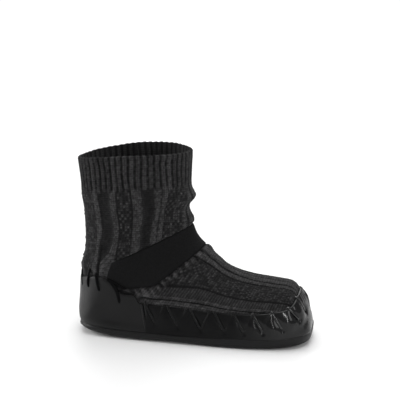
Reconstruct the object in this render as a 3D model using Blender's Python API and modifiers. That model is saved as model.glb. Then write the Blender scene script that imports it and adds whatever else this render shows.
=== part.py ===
"""Slipper sock: a knitted ankle sock with a leather moccasin foot, for the right foot.

The toe points along +X, the outer side of the foot is -Y and +Z is up. The origin is on the floor,
under the middle of the shoe. One function gives the form that the sock fills, ring by ring from the
toe, under the instep and up the leg. Every piece is cut between two sizes of that form, so that the
leather, the band and the sole lie on the knit with one even gap.
"""
import math
from collections import namedtuple

import bmesh
import bpy
from mathutils import Vector

# Driving sizes of the form, in metres. They are the outside of the knit.
FORM_LENGTH = 0.250
BALL_WIDTH = 0.087
HEEL_WIDTH = 0.073
INSTEP_HEIGHT = 0.0910
SHAFT_HEIGHT = 0.1960
SHAFT_WIDTH = 0.098
TOE_SPRING = 0.0040
HEEL_LIFT = 0.0060
TOE_SWAY = 0.0040

# Sizes of the pieces, in metres
KNIT_WALL = 0.0028
LEATHER_WALL = 0.0018
BAND_WALL = 0.0012
SOLE_THICKNESS = 0.0040
SOLE_LIP = 0.0007
HEEL_LIP = 0.0016
SOLE_RIM_HEIGHT = 0.0105
SOLE_SPARE = 0.0006  # cut off flat again at the floor
SOLE_SQUARENESS = 1.5  # 1 keeps the form's own round edge
INSOLE_THICKNESS = 0.0030
COUNTER_HEIGHT = 0.0660
WRAP_HEIGHT = 0.0380
SIDE_SEAM_X = 0.0820  # from the form's back end
SIDE_SEAM_LEAN = 0.0050
VAMP_END_X = 0.2390  # where the knit ends over the toes
BAND_WIDTH = 0.0265
BAND_FOOT_WIDTH = 0.0465
CLEARANCE = 0.0003
SEAM_GAP = 0.0004

# How finely the form is cut into faces
AROUND = 36
STEPS_AT_TOE = 1
STEPS_ELSEWHERE = 2
CURVE_STEPS = 4
SHARP_ANGLE = math.radians(40)

KNIT_COLOUR = (0.030, 0.030, 0.031, 1.0)
BAND_COLOUR = (0.009, 0.009, 0.009, 1.0)
LEATHER_COLOUR = (0.011, 0.011, 0.012, 1.0)
SOLE_COLOUR = (0.014, 0.014, 0.015, 1.0)
INSOLE_COLOUR = (0.045, 0.043, 0.041, 1.0)

FORM_BASE = SOLE_THICKNESS + CLEARANCE
SOLE_REACH = CLEARANCE + LEATHER_WALL + SOLE_LIP
FAR = 0.5

# Rings of the foot, from the toe back to the throat. under_x and over_x are shares of FORM_LENGTH,
# rise a share of TOE_SPRING, over_z a share of INSTEP_HEIGHT, half_width a share of BALL_WIDTH.
# widest is where the ring is broadest, as a share of the way from under to over. The powers shape
# the ring below and above that: 2 is round, and more is squarer.
FootRing = namedtuple("FootRing", "under_x rise over_x over_z half_width widest low high")
FOOT_RINGS = (
    FootRing(1.000, 3.60, 1.000, 0.210, 0.000, 0.50, 2.0, 2.0),
    FootRing(0.996, 1.15, 0.993, 0.290, 0.200, 0.42, 3.0, 2.3),
    FootRing(0.980, 0.68, 0.971, 0.402, 0.320, 0.34, 4.0, 2.4),
    FootRing(0.948, 0.38, 0.952, 0.530, 0.400, 0.28, 5.2, 2.4),
    FootRing(0.902, 0.18, 0.921, 0.646, 0.450, 0.24, 6.4, 2.4),
    FootRing(0.836, 0.05, 0.848, 0.682, 0.483, 0.22, 7.4, 2.3),
    FootRing(0.760, 0.00, 0.768, 0.709, 0.498, 0.20, 8.0, 2.2),
    FootRing(0.688, 0.00, 0.700, 0.758, 0.500, 0.18, 8.0, 2.15),
    FootRing(0.620, 0.00, 0.644, 0.832, 0.496, 0.17, 8.0, 2.1),
    FootRing(0.548, 0.15, 0.604, 0.925, 0.490, 0.16, 8.0, 2.1),
)

# Rings that turn round the heel and up the leg. lift is a share of HEEL_LIFT, climb a share of
# SHAFT_HEIGHT, and over_z a share of the way from INSTEP_HEIGHT to SHAFT_HEIGHT. shaft is how far
# the half width has gone from HEEL_WIDTH to SHAFT_WIDTH, and swell is a factor on it. bow is how
# far the ring's sides stand above its ends, as a share of SHAFT_HEIGHT.
TurnRing = namedtuple("TurnRing", "under_x lift climb over_x over_z shaft swell widest low high bow")
TURN_RINGS = (
    TurnRing(0.425, 0.20, 0.000, 0.560, 0.030, 0.0, 1.130, 0.15, 8.0, 2.1, 0.000),
    TurnRing(0.280, 0.05, 0.000, 0.518, 0.125, 0.0, 1.080, 0.16, 7.4, 2.1, 0.000),
    TurnRing(0.135, 0.20, 0.000, 0.494, 0.250, 0.0, 1.030, 0.20, 6.0, 2.1, 0.000),
    TurnRing(0.040, 0.90, 0.000, 0.485, 0.355, 0.0, 0.990, 0.28, 4.0, 2.1, 0.000),
    TurnRing(0.010, 2.30, 0.005, 0.484, 0.425, 0.0, 0.985, 0.38, 2.8, 2.1, 0.000),
    TurnRing(0.006, 1.00, 0.145, 0.484, 0.490, 0.10, 1.000, 0.45, 2.2, 2.1, 0.000),
    TurnRing(0.014, 0.00, 0.305, 0.485, 0.565, 0.25, 1.000, 0.48, 2.1, 2.1, 0.000),
    TurnRing(0.034, 0.00, 0.480, 0.486, 0.650, 0.45, 1.000, 0.50, 2.1, 2.1, 0.000),
    TurnRing(0.032, 0.00, 0.640, 0.486, 0.745, 0.70, 1.000, 0.50, 2.1, 2.1, 0.006),
    TurnRing(0.022, 0.00, 0.785, 0.486, 0.860, 0.90, 1.000, 0.50, 2.1, 2.1, 0.015),
    TurnRing(0.010, 0.00, 0.934, 0.489, 1.000, 1.00, 1.000, 0.50, 2.1, 2.1, 0.020),
)

# Side lines that cut the pieces, seen along Y. x is a share of FORM_LENGTH.
CutPoint = namedtuple("CutPoint", "x z")
# z as a share of COUNTER_HEIGHT
COUNTER_TOP = (
    CutPoint(-0.080, 0.89), CutPoint(0.020, 0.91), CutPoint(0.080, 0.98), CutPoint(0.135, 1.00),
    CutPoint(0.160, 0.97), CutPoint(0.185, 0.87), CutPoint(0.210, 0.77), CutPoint(0.240, 0.74),
    CutPoint(0.285, 0.73), CutPoint(0.314, 0.62), CutPoint(0.400, 0.61),
)
# z as a share of WRAP_HEIGHT, up to where the line climbs over the toe
WRAP_TOP = (
    CutPoint(0.250, 1.05), CutPoint(0.330, 1.06), CutPoint(0.480, 1.00), CutPoint(0.640, 0.96),
    CutPoint(0.780, 0.97), CutPoint(0.860, 1.03),
)
# x from VAMP_END_X as a share of BALL_WIDTH, z from WRAP_HEIGHT as a share of INSTEP_HEIGHT
TOE_CLIMB = (CutPoint(-0.110, 0.050), CutPoint(-0.035, 0.130), CutPoint(0.000, 0.230),
             CutPoint(0.020, 0.420))
# z as a share of SOLE_RIM_HEIGHT
RIM_TOP = (
    CutPoint(-0.080, 1.30), CutPoint(0.050, 1.22), CutPoint(0.200, 1.03), CutPoint(0.400, 0.95),
    CutPoint(0.650, 0.95), CutPoint(0.850, 1.05), CutPoint(0.950, 1.22), CutPoint(1.080, 1.35),
)
# The band's middle line, from the side of the heel up over the instep. z is a share of INSTEP_HEIGHT.
# Past the foot of that line the band runs on by BAND_END_REACH, a share of the line.
BAND_END_REACH = 0.08
BAND_FOOT = CutPoint(0.225, 0.678)
BAND_FRONT = CutPoint(0.517, 1.177)

SWAY_START = 0.62  # a share of FORM_LENGTH

FormRing = namedtuple("FormRing", "under over half_width widest low high sway bow")


def ring_of_foot(row):
    """A foot ring in metres. The toe sways a little towards the inner side of the foot."""
    under = Vector((row.under_x * FORM_LENGTH, 0.0, FORM_BASE + row.rise * TOE_SPRING))
    over = Vector((row.over_x * FORM_LENGTH, 0.0, row.over_z * INSTEP_HEIGHT))
    share = max(0.0, (row.under_x - SWAY_START) / (1 - SWAY_START))
    return FormRing(under, over, row.half_width * BALL_WIDTH, row.widest, row.low, row.high,
                    TOE_SWAY * share ** 2, 0.0)


def ring_of_turn(row):
    """A ring of the heel or the leg in metres."""
    under = Vector((row.under_x * FORM_LENGTH, 0.0,
                    FORM_BASE + row.lift * HEEL_LIFT + row.climb * SHAFT_HEIGHT))
    over = Vector((row.over_x * FORM_LENGTH, 0.0,
                   INSTEP_HEIGHT + row.over_z * (SHAFT_HEIGHT - INSTEP_HEIGHT)))
    half = (HEEL_WIDTH + row.shaft * (SHAFT_WIDTH - HEEL_WIDTH)) / 2 * row.swell
    return FormRing(under, over, half, row.widest, row.low, row.high, 0.0, row.bow * SHAFT_HEIGHT)


def between(a, b, c, d, t):
    """The value at share t of the way from b to c on a smooth curve through all four."""
    return 0.5 * (2 * b + (c - a) * t + (2 * a - 5 * b + 4 * c - d) * t * t
                  + (3 * b - a - 3 * c + d) * t ** 3)


def form_rings():
    """The tables' rings with smooth ones between them, from the toe to the collar."""
    rings = [ring_of_foot(row) for row in FOOT_RINGS] + [ring_of_turn(row) for row in TURN_RINGS]
    last = len(rings) - 1
    found = []
    for i in range(last):
        steps = STEPS_AT_TOE if i < len(FOOT_RINGS) // 2 else STEPS_ELSEWHERE
        near = [rings[max(0, min(last, i + k))] for k in (-1, 0, 1, 2)]
        for step in range(steps):
            found.append(FormRing(*(between(*column, step / steps) for column in zip(*near))))
    return found + [rings[last]]


def ring_points(ring):
    """The points of one ring, from the middle of the sole up the inner side and down the outer."""
    points = []
    for i in range(AROUND):
        angle = math.tau * i / AROUND
        cosine, sine = math.cos(angle), math.sin(angle)
        power = ring.low if cosine > 0 else ring.high
        reach = ring.widest if cosine > 0 else 1 - ring.widest
        across = math.copysign(abs(sine) ** (2 / power), sine) * ring.half_width
        along = ring.widest - math.copysign(abs(cosine) ** (2 / power), cosine) * reach
        bow = 4 * along * (1 - along) * ring.bow
        points.append(ring.under.lerp(ring.over, along) + Vector((0, ring.sway + across, bow)))
    return points


def form_surface(move):
    """The form as a bmesh, open at the collar, with each point moved by move(its normal)."""
    rings = form_rings()
    surface = bmesh.new()
    tip = surface.verts.new(ring_points(rings[0])[0])
    rows = [[surface.verts.new(p) for p in ring_points(ring)] for ring in rings[1:]]
    for j in range(AROUND):
        surface.faces.new((tip, rows[0][j], rows[0][(j + 1) % AROUND]))
    for a, b in zip(rows, rows[1:]):
        for j in range(AROUND):
            k = (j + 1) % AROUND
            surface.faces.new((a[j], b[j], b[k], a[k]))
    bmesh.ops.recalc_face_normals(surface, faces=surface.faces)
    bmesh.ops.triangulate(surface, faces=surface.faces)
    surface.normal_update()
    for vert, way in [(vert, move(vert.normal)) for vert in surface.verts]:
        vert.co += way
    return surface


def even(distance):
    """A move outwards that is the same all over."""
    return lambda normal: normal * distance


def sole_move(normal):
    """The sole stands out past the leather, most at the heel, and is thick underneath."""
    level = Vector((normal.x, normal.y, 0))
    out = (SOLE_REACH + HEEL_LIP * max(0.0, -normal.x) ** 2) * min(1, SOLE_SQUARENESS * level.length)
    down = (FORM_BASE + SOLE_SPARE) * min(1, SOLE_SQUARENESS * max(0.0, -normal.z))
    return level.normalized() * out + Vector((0, 0, -down))


def object_from(name, surface, collection):
    """A mesh object from a bmesh, in the given collection."""
    mesh = bpy.data.meshes.new(name)
    surface.to_mesh(mesh)
    surface.free()
    thing = bpy.data.objects.new(name, mesh)
    collection.objects.link(thing)
    return thing


def closed_form(name, move, collection):
    """The form with a lid on its collar, as a solid to cut or keep."""
    surface = form_surface(move)
    rim = [edge for edge in surface.edges if edge.is_boundary]
    bmesh.ops.holes_fill(surface, edges=rim, sides=0)
    bmesh.ops.recalc_face_normals(surface, faces=surface.faces)
    return object_from(name, surface, collection)


def smooth_line(points):
    """A line through the points, rounded between them."""
    last = len(points) - 1
    line = []
    for i in range(last):
        near = [points[max(0, min(last, i + k))] for k in (-1, 0, 1, 2)]
        for step in range(CURVE_STEPS):
            line.append(between(*near, step / CURVE_STEPS))
    return line + [points[last]]


def line_from(points, height):
    """A side line in metres from its table."""
    return [Vector((p.x * FORM_LENGTH, p.z * height)) for p in points]


def counter_line():
    return smooth_line(line_from(COUNTER_TOP, COUNTER_HEIGHT))


def wrap_line():
    """The wrap's top edge: low along the side, then up over the toe where the knit ends."""
    climb = [Vector((VAMP_END_X + p.x * BALL_WIDTH, WRAP_HEIGHT + p.z * INSTEP_HEIGHT))
             for p in TOE_CLIMB]
    return smooth_line(line_from(WRAP_TOP, WRAP_HEIGHT) + climb) + [
        Vector((climb[-1].x, FAR))]


def rim_line(raised):
    return [p + Vector((0, raised)) for p in smooth_line(line_from(RIM_TOP, SOLE_RIM_HEIGHT))]


def under_line(raised):
    """The middle line of the form's underside, from the heel to the toe, raised."""
    rings = [r for r in form_rings() if r.under.z < FORM_BASE + SOLE_RIM_HEIGHT]
    line = sorted((Vector((r.under.x, r.under.z + raised)) for r in rings), key=lambda p: p.x)
    return [Vector((-FAR, line[0].y))] + line + [Vector((FAR, line[-1].y))]


def height_at(line, x):
    """The height of a side line at x."""
    for a, b in zip(line, line[1:]):
        if a.x <= x <= b.x:
            return a.lerp(b, (x - a.x) / (b.x - a.x)).y
    raise ValueError(f"the line has no height at x = {x}")


def seam_ends(top, low, aside):
    """The lower and upper end of the side seam, which leans back towards the top."""
    lean = SIDE_SEAM_LEAN / 2
    ends = ((low, SIDE_SEAM_X + aside + lean), (top, SIDE_SEAM_X + aside - lean))
    return [Vector((x, height_at(line, x))) for line, x in ends]


def prism(name, outline, collection):
    """A solid with this outline in the XZ plane, wide enough to cut right through the shoe."""
    curve = bpy.data.curves.new(name, "CURVE")
    curve.dimensions = "2D"
    curve.fill_mode = "BOTH"
    curve.extrude = BALL_WIDTH + SHAFT_WIDTH
    spline = curve.splines.new("POLY")
    spline.points.add(len(outline) - 1)
    for point, place in zip(spline.points, outline):
        point.co = (place.x, place.y, 0, 1)
    spline.use_cyclic_u = True
    guide = bpy.data.objects.new(name + "_outline", curve)
    guide.rotation_euler = (math.radians(90), 0, 0)
    bpy.context.scene.collection.objects.link(guide)
    bpy.context.view_layer.update()
    graph = bpy.context.evaluated_depsgraph_get()
    mesh = bpy.data.meshes.new_from_object(guide.evaluated_get(graph))
    solid = bmesh.new()
    solid.from_mesh(mesh)
    bmesh.ops.remove_doubles(solid, verts=solid.verts, dist=1e-6)
    bmesh.ops.transform(solid, matrix=guide.matrix_world, verts=solid.verts)
    bmesh.ops.recalc_face_normals(solid, faces=solid.faces)
    bpy.data.objects.remove(guide)
    bpy.data.meshes.remove(mesh)
    return object_from(name, solid, collection)


def cut(thing, operation, cutter):
    """Adds a Boolean to thing and marks the other object as a cutter."""
    cutter.hide_render = True
    cutter.display_type = "WIRE"
    modifier = thing.modifiers.new(f"{operation} {cutter.name}".title(), "BOOLEAN")
    modifier.operation = operation
    modifier.solver = "EXACT"
    modifier.object = cutter


def finish(thing, colour, roughness):
    """Gives the piece its own material and smooth shading with sharp edges."""
    material = bpy.data.materials.new(thing.name)
    material.use_nodes = True
    shader = material.node_tree.nodes["Principled BSDF"]
    shader.inputs["Base Color"].default_value = colour
    shader.inputs["Roughness"].default_value = roughness
    shader.inputs["Metallic"].default_value = 0.0
    thing.data.materials.append(material)
    thing.data.shade_smooth()
    thing.data.set_sharp_from_angle(angle=SHARP_ANGLE)


def walled(name, gap, wall, collection):
    """The form's surface grown by gap, with a wall outside it, or inside it if wall is negative."""
    thing = object_from(name, form_surface(even(gap)), collection)
    solidify = thing.modifiers.new("Wall", "SOLIDIFY")
    solidify.thickness = abs(wall)
    solidify.offset = math.copysign(1.0, wall)
    solidify.use_rim = True
    return thing


def knit_upper(pieces, cutters):
    """The whole sock from the toe to the collar, open at the collar and underneath."""
    sock = walled("knit_upper", 0.0, -KNIT_WALL, pieces)
    foot_of_wall = under_line(INSOLE_THICKNESS + 2 * CLEARANCE)
    outline = foot_of_wall + [Vector((FAR, -FAR)), Vector((-FAR, -FAR))]
    cut(sock, "DIFFERENCE", prism("below_knit", outline, cutters))
    finish(sock, KNIT_COLOUR, 0.95)
    return sock


def sole(pieces, cutters):
    """A soft sole turned up into a low rim, hollow inside where the sock sits."""
    dish = closed_form("sole", sole_move, pieces)
    outline = rim_line(0.0) + [Vector((FAR, 0.0)), Vector((-FAR, 0.0))]
    cut(dish, "INTERSECT", prism("sole_block", outline, cutters))
    cut(dish, "DIFFERENCE", closed_form("sock_in_sole", even(CLEARANCE), cutters))
    finish(dish, SOLE_COLOUR, 0.5)
    return dish


def insole(pieces, cutters):
    """A thin pad that lies in the sole. The sock's wall stands on its edge."""
    pad = closed_form("insole", even(0.0), pieces)
    outline = under_line(INSOLE_THICKNESS + CLEARANCE)
    outline += [Vector((FAR, -FAR)), Vector((-FAR, -FAR))]
    cut(pad, "INTERSECT", prism("insole_block", outline, cutters))
    finish(pad, INSOLE_COLOUR, 0.9)
    return pad


def toe_wrap(pieces, cutters):
    """The leather that wraps the forefoot, from the side seams round the toe."""
    wrap = walled("toe_wrap", CLEARANCE, LEATHER_WALL, pieces)
    top, low = wrap_line(), rim_line(CLEARANCE)
    seam = seam_ends(top, low, SEAM_GAP / 2)
    outline = seam + [p for p in top if p.x > seam[1].x]
    outline += [Vector((FAR, FAR)), Vector((FAR, low[-1].y))]
    outline += [p for p in reversed(low) if p.x > seam[0].x]
    cut(wrap, "INTERSECT", prism("wrap_region", outline, cutters))
    finish(wrap, LEATHER_COLOUR, 0.2)
    return wrap


def heel_counter(pieces, cutters):
    """The leather round the heel, from one side seam to the other."""
    counter = walled("heel_counter", CLEARANCE, LEATHER_WALL, pieces)
    top, low = counter_line(), rim_line(CLEARANCE)
    seam = seam_ends(top, low, -SEAM_GAP / 2)
    outline = seam + [p for p in reversed(top) if p.x < seam[1].x]
    outline += [Vector((-FAR, top[0].y)), Vector((-FAR, low[0].y))]
    outline += [p for p in low if p.x < seam[0].x]
    cut(counter, "INTERSECT", prism("counter_region", outline, cutters))
    finish(counter, LEATHER_COLOUR, 0.35)
    return counter


def ankle_band(pieces, cutters):
    """The elastic band over the instep, with its ends at the leather's top edge."""
    band = walled("ankle_band", CLEARANCE, BAND_WALL, pieces)
    foot = Vector((BAND_FOOT.x * FORM_LENGTH, BAND_FOOT.z * INSTEP_HEIGHT))
    front = Vector((BAND_FRONT.x * FORM_LENGTH, BAND_FRONT.z * INSTEP_HEIGHT))
    along = (front - foot).normalized()
    across = Vector((-along.y, along.x))
    low = [p - across * width / 2 for p, width in ((foot, BAND_FOOT_WIDTH), (front, BAND_WIDTH))]
    high = [p + across * width / 2 for p, width in ((foot, BAND_FOOT_WIDTH), (front, BAND_WIDTH))]
    back = high[0].lerp(high[1], -BAND_END_REACH)
    outline = [low[0], low[0].lerp(low[1], 2), high[0].lerp(high[1], 2), back,
               Vector((back.x + BAND_END_REACH * BAND_WIDTH, low[0].y))]
    cut(band, "INTERSECT", prism("band_region", outline, cutters))
    side = smooth_line(line_from(WRAP_TOP, WRAP_HEIGHT))
    for name, line in (("above_counter", counter_line()), ("above_wrap", side)):
        raised = [p + Vector((0, 2 * SEAM_GAP)) for p in line]
        below = raised + [Vector((raised[-1].x, -FAR)), Vector((raised[0].x, -FAR))]
        cut(band, "DIFFERENCE", prism(name, below, cutters))
    finish(band, BAND_COLOUR, 0.8)
    return band


def middle_of(things):
    """The middle of the things' common length along X, with their modifiers."""
    bpy.context.view_layer.update()
    graph = bpy.context.evaluated_depsgraph_get()
    ends = [corner[0] for thing in things for corner in thing.evaluated_get(graph).bound_box]
    return (min(ends) + max(ends)) / 2


def main():
    for thing in list(bpy.data.objects):
        bpy.data.objects.remove(thing)
    pieces = bpy.data.collections.new("slipper_sock")
    cutters = bpy.data.collections.new("cutters")
    for collection in (pieces, cutters):
        bpy.context.scene.collection.children.link(collection)
    built = [build(pieces, cutters)
             for build in (sole, insole, knit_upper, toe_wrap, heel_counter, ankle_band)]
    shoe = bpy.data.objects.new("shoe", None)
    shoe.location.x = -middle_of(built)
    for thing in list(pieces.objects) + list(cutters.objects):
        thing.parent = shoe
    pieces.objects.link(shoe)


main()
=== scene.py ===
"""The looks of a knitted slipper sock with a leather foot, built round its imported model.

Places are in metres. Form places are measured as the sock's form is: x from the back of the heel towards the
toe, y towards the inner side of the foot, z up from the floor. Names that end in _MM are in millimetres.
"""

import math
from collections import namedtuple

import bpy
import numpy as np
from bpy.props import FloatProperty, FloatVectorProperty, PointerProperty
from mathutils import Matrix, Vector
from mathutils.bvhtree import BVHTree


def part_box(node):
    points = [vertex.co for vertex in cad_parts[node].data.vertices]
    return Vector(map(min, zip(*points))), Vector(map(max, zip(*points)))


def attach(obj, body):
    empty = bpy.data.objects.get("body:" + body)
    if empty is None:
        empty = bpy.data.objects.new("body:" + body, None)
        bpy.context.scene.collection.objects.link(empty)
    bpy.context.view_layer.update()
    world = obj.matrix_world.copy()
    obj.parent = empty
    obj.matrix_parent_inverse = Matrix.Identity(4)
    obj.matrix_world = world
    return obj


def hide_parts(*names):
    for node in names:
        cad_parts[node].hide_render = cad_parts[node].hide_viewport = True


bl_info = {
    "name": "Slipper sock",
    "version": (1, 0, 0),
    "blender": (4, 5, 0),
    "location": "3D View > Sidebar > Slipper sock",
    "description": "Builds a knitted slipper sock with a leather toe wrap, heel counter and elastic band",
    "category": "Object",
}

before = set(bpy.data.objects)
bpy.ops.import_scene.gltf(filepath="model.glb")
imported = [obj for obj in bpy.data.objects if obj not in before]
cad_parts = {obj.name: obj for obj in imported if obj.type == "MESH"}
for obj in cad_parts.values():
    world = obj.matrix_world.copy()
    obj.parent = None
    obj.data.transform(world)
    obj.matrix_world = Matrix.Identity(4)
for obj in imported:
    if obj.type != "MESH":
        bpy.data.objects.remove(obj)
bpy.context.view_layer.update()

MM = 0.001
FORM_LENGTH = 0.250
BALL_WIDTH = 0.087
HEEL_WIDTH = 0.073
INSTEP_HEIGHT = 0.0910
SHAFT_HEIGHT = 0.1960
SHAFT_WIDTH = 0.098
TOE_SPRING = 0.0040
HEEL_LIFT = 0.0060
TOE_SWAY = 0.0040
SWAY_START = 0.62
SOLE_THICKNESS = 0.0040
CLEARANCE = 0.0003
LEATHER_WALL = 0.0018
SOLE_LIP = 0.0007
HEEL_LIP = 0.0016
SOLE_SPARE = 0.0006
SOLE_SQUARENESS = 1.5
SOLE_RIM_HEIGHT = 0.0105
COUNTER_HEIGHT = 0.0660
WRAP_HEIGHT = 0.0380
SIDE_SEAM_X = 0.0820
SIDE_SEAM_LEAN = 0.0050
VAMP_END_X = 0.2390
BAND_WIDTH = 0.0265
BAND_FOOT_WIDTH = 0.0465
FORM_BASE = SOLE_THICKNESS + CLEARANCE
SOLE_REACH = CLEARANCE + LEATHER_WALL + SOLE_LIP
KNIT_FOOT = FORM_BASE + 0.0042  # the lowest that the knit reaches inside the leather

FootRing = namedtuple("FootRing", "under_x rise over_x over_z half_width widest low high")
FOOT_RINGS = (
    FootRing(1.000, 3.60, 1.000, 0.210, 0.000, 0.50, 2.0, 2.0),
    FootRing(0.996, 1.15, 0.993, 0.290, 0.200, 0.42, 3.0, 2.3),
    FootRing(0.980, 0.68, 0.971, 0.402, 0.320, 0.34, 4.0, 2.4),
    FootRing(0.948, 0.38, 0.952, 0.530, 0.400, 0.28, 5.2, 2.4),
    FootRing(0.902, 0.18, 0.921, 0.646, 0.450, 0.24, 6.4, 2.4),
    FootRing(0.836, 0.05, 0.848, 0.682, 0.483, 0.22, 7.4, 2.3),
    FootRing(0.760, 0.00, 0.768, 0.709, 0.498, 0.20, 8.0, 2.2),
    FootRing(0.688, 0.00, 0.700, 0.758, 0.500, 0.18, 8.0, 2.15),
    FootRing(0.620, 0.00, 0.644, 0.832, 0.496, 0.17, 8.0, 2.1),
    FootRing(0.548, 0.15, 0.604, 0.925, 0.490, 0.16, 8.0, 2.1),
)
TurnRing = namedtuple("TurnRing", "under_x lift climb over_x over_z shaft swell widest low high bow")
TURN_RINGS = (
    TurnRing(0.425, 0.20, 0.000, 0.560, 0.030, 0.0, 1.130, 0.15, 8.0, 2.1, 0.000),
    TurnRing(0.280, 0.05, 0.000, 0.518, 0.125, 0.0, 1.080, 0.16, 7.4, 2.1, 0.000),
    TurnRing(0.135, 0.20, 0.000, 0.494, 0.250, 0.0, 1.030, 0.20, 6.0, 2.1, 0.000),
    TurnRing(0.040, 0.90, 0.000, 0.485, 0.355, 0.0, 0.990, 0.28, 4.0, 2.1, 0.000),
    TurnRing(0.010, 2.30, 0.005, 0.484, 0.425, 0.0, 0.985, 0.38, 2.8, 2.1, 0.000),
    TurnRing(0.006, 1.00, 0.145, 0.484, 0.490, 0.10, 1.000, 0.45, 2.2, 2.1, 0.000),
    TurnRing(0.014, 0.00, 0.305, 0.485, 0.565, 0.25, 1.000, 0.48, 2.1, 2.1, 0.000),
    TurnRing(0.034, 0.00, 0.480, 0.486, 0.650, 0.45, 1.000, 0.50, 2.1, 2.1, 0.000),
    TurnRing(0.032, 0.00, 0.640, 0.486, 0.745, 0.70, 1.000, 0.50, 2.1, 2.1, 0.006),
    TurnRing(0.022, 0.00, 0.785, 0.486, 0.860, 0.90, 1.000, 0.50, 2.1, 2.1, 0.015),
    TurnRing(0.010, 0.00, 0.934, 0.489, 1.000, 1.00, 1.000, 0.50, 2.1, 2.1, 0.020),
)
LAST_RING = len(FOOT_RINGS) + len(TURN_RINGS) - 1
SPLIT_RING = len(FOOT_RINGS) + 2  # the ring under the band and the leather where leg and foot knit meet
TOE_RING = 1.6

COUNTER_TOP = ((-0.080, 0.89), (0.020, 0.91), (0.080, 0.98), (0.135, 1.00), (0.160, 0.97), (0.185, 0.87),
               (0.210, 0.77), (0.240, 0.74), (0.285, 0.73), (0.314, 0.62), (0.400, 0.61))
WRAP_TOP = ((0.250, 1.05), (0.330, 1.06), (0.480, 1.00), (0.640, 0.96), (0.780, 0.97), (0.860, 1.03))
TOE_CLIMB = ((-0.110, 0.050), (-0.035, 0.130), (0.000, 0.230), (0.020, 0.420))
RIM_TOP = ((-0.080, 1.30), (0.050, 1.22), (0.200, 1.03), (0.400, 0.95),
           (0.650, 0.95), (0.850, 1.05), (0.950, 1.22), (1.080, 1.35))
BAND_FOOT = (0.225 * FORM_LENGTH, 0.678 * INSTEP_HEIGHT)
BAND_FRONT = (0.517 * FORM_LENGTH, 1.177 * INSTEP_HEIGHT)
BAND_END_REACH = 0.08
BAND_ENDS = ((0.0300, 0.0655), (0.0527, 0.0585), (0.0613, 0.0563), (0.0722, 0.0572), (0.0881, 0.0582))
FAR = 0.30

WALES = 156  # columns of stitches round the sock
HALF_WALES = WALES / 2
FINE = 3  # points across one stitch
CUFF_MM = 34.0
CUFF_RIB = 3  # wales from one rib of the cuff to the next
COVERED_MM = 146.0  # below this the back of the leg is under the heel leather
COURSE_MM = 2.3

Panel = namedtuple("Panel", "kind start end")
LEG_PANELS = (
    Panel("rib", 0.0, 3.33), Panel("rib", 4.0, 6.67), Panel("moss", 7.0, 17.67),
    Panel("rib", 18.0, 21.0), Panel("rib", 21.33, 24.67), Panel("channel", 25.0, 30.67),
    Panel("rib", 31.0, 36.33), Panel("moss", 36.67, 43.33), Panel("rib", 43.67, 47.0),
    Panel("channel", 47.33, 53.33), Panel("rib", 53.67, 57.67),
    Panel("moss", 58.0, 66.0), Panel("rib", 66.33, 70.0), Panel("moss", 70.33, 78.1),
)
FOOT_PANELS = (
    Panel("rib", 0.0, 6.33), Panel("rib", 7.33, 11.33), Panel("moss", 12.0, 24.33),
    Panel("ladder", 25.33, 28.33), Panel("rib", 28.33, 29.60), Panel("rib", 29.90, 32.80),
    Panel("channel", 33.0, 78.1),
)
FINE_REACH = 41  # wales either side of the front that the foot's knit shows
FOOT_COURSES = 62
SPARE_COLUMNS = 8  # from there to under the leather
COVERED_ROWS = 16  # of the leg under the heel leather
INNER_ROWS = 22  # of its inside
LIP_STEPS = 7  # round the collar's edge
# Where the ladder's two edges run along the foot: form x, and the wales of its upper and lower edge.
LADDER_WAY = ((0.0750, 34.5, 39.5), (0.0966, 32.8, 36.8), (0.1094, 30.5, 35.4), (0.1211, 29.0, 34.4),
              (0.1369, 26.7, 32.7), (0.1566, 25.4, 30.6), (0.1753, 24.7, 29.9), (0.2008, 24.4, 29.4))
# Soft folds: middle in wales from the front and height above the floor, reach in wales and in
# metres, and how far it stands out in mm.
Fold = namedtuple("Fold", "wale height reach_wales reach height_mm")
LEG_FOLDS = (
    Fold(0, 0.1495, 12, 0.0062, 5.4), Fold(0, 0.1375, 13, 0.0060, -1.6), Fold(0, 0.1255, 12, 0.0058, 1.7),
    Fold(22, 0.1420, 9, 0.0100, -0.9), Fold(-22, 0.1400, 9, 0.0100, -0.9),
    Fold(38, 0.1180, 10, 0.0130, 1.0), Fold(-38, 0.1200, 10, 0.0130, 1.0),
    Fold(50, 0.0850, 6, 0.0140, -1.6), Fold(-50, 0.0850, 6, 0.0140, -1.6),
    Fold(70, 0.1480, 12, 0.0110, 1.0), Fold(-70, 0.1480, 12, 0.0110, 1.0),
    Fold(58, 0.0760, 6, 0.0060, 1.3), Fold(-58, 0.0760, 6, 0.0060, 1.3),
    Fold(67, 0.0800, 7, 0.0055, 2.0), Fold(-67, 0.0790, 7, 0.0055, 2.0),
    Fold(74, 0.0715, 8, 0.0050, 2.3), Fold(-75, 0.0715, 8, 0.0050, 2.3),
)
# Where the two back ribs of each side are drawn together by the first stitch over the heel leather.
PINCH_X = 0.0305
PINCHED_PANEL = 9
PINCH_LOW = 0.074
PINCH_HIGH = 0.116
PINCH_WALES = 3.3
PINCH_REACH = 7
PINCH_DRAWN = 9  # how far the wales beside it follow

LEG_GAP_MM = 0.35  # depth of the groove between two panels
FOOT_GAP_MM = 0.80
COURSE_START = 400  # keeps the numbers of all courses above 0
WALE_START = 90  # and those of the cuff's wales
PUCKER_OFF = 0.0040  # how far off the band's edge the puckers are highest
PUCKER_REACH = 0.0050

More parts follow.
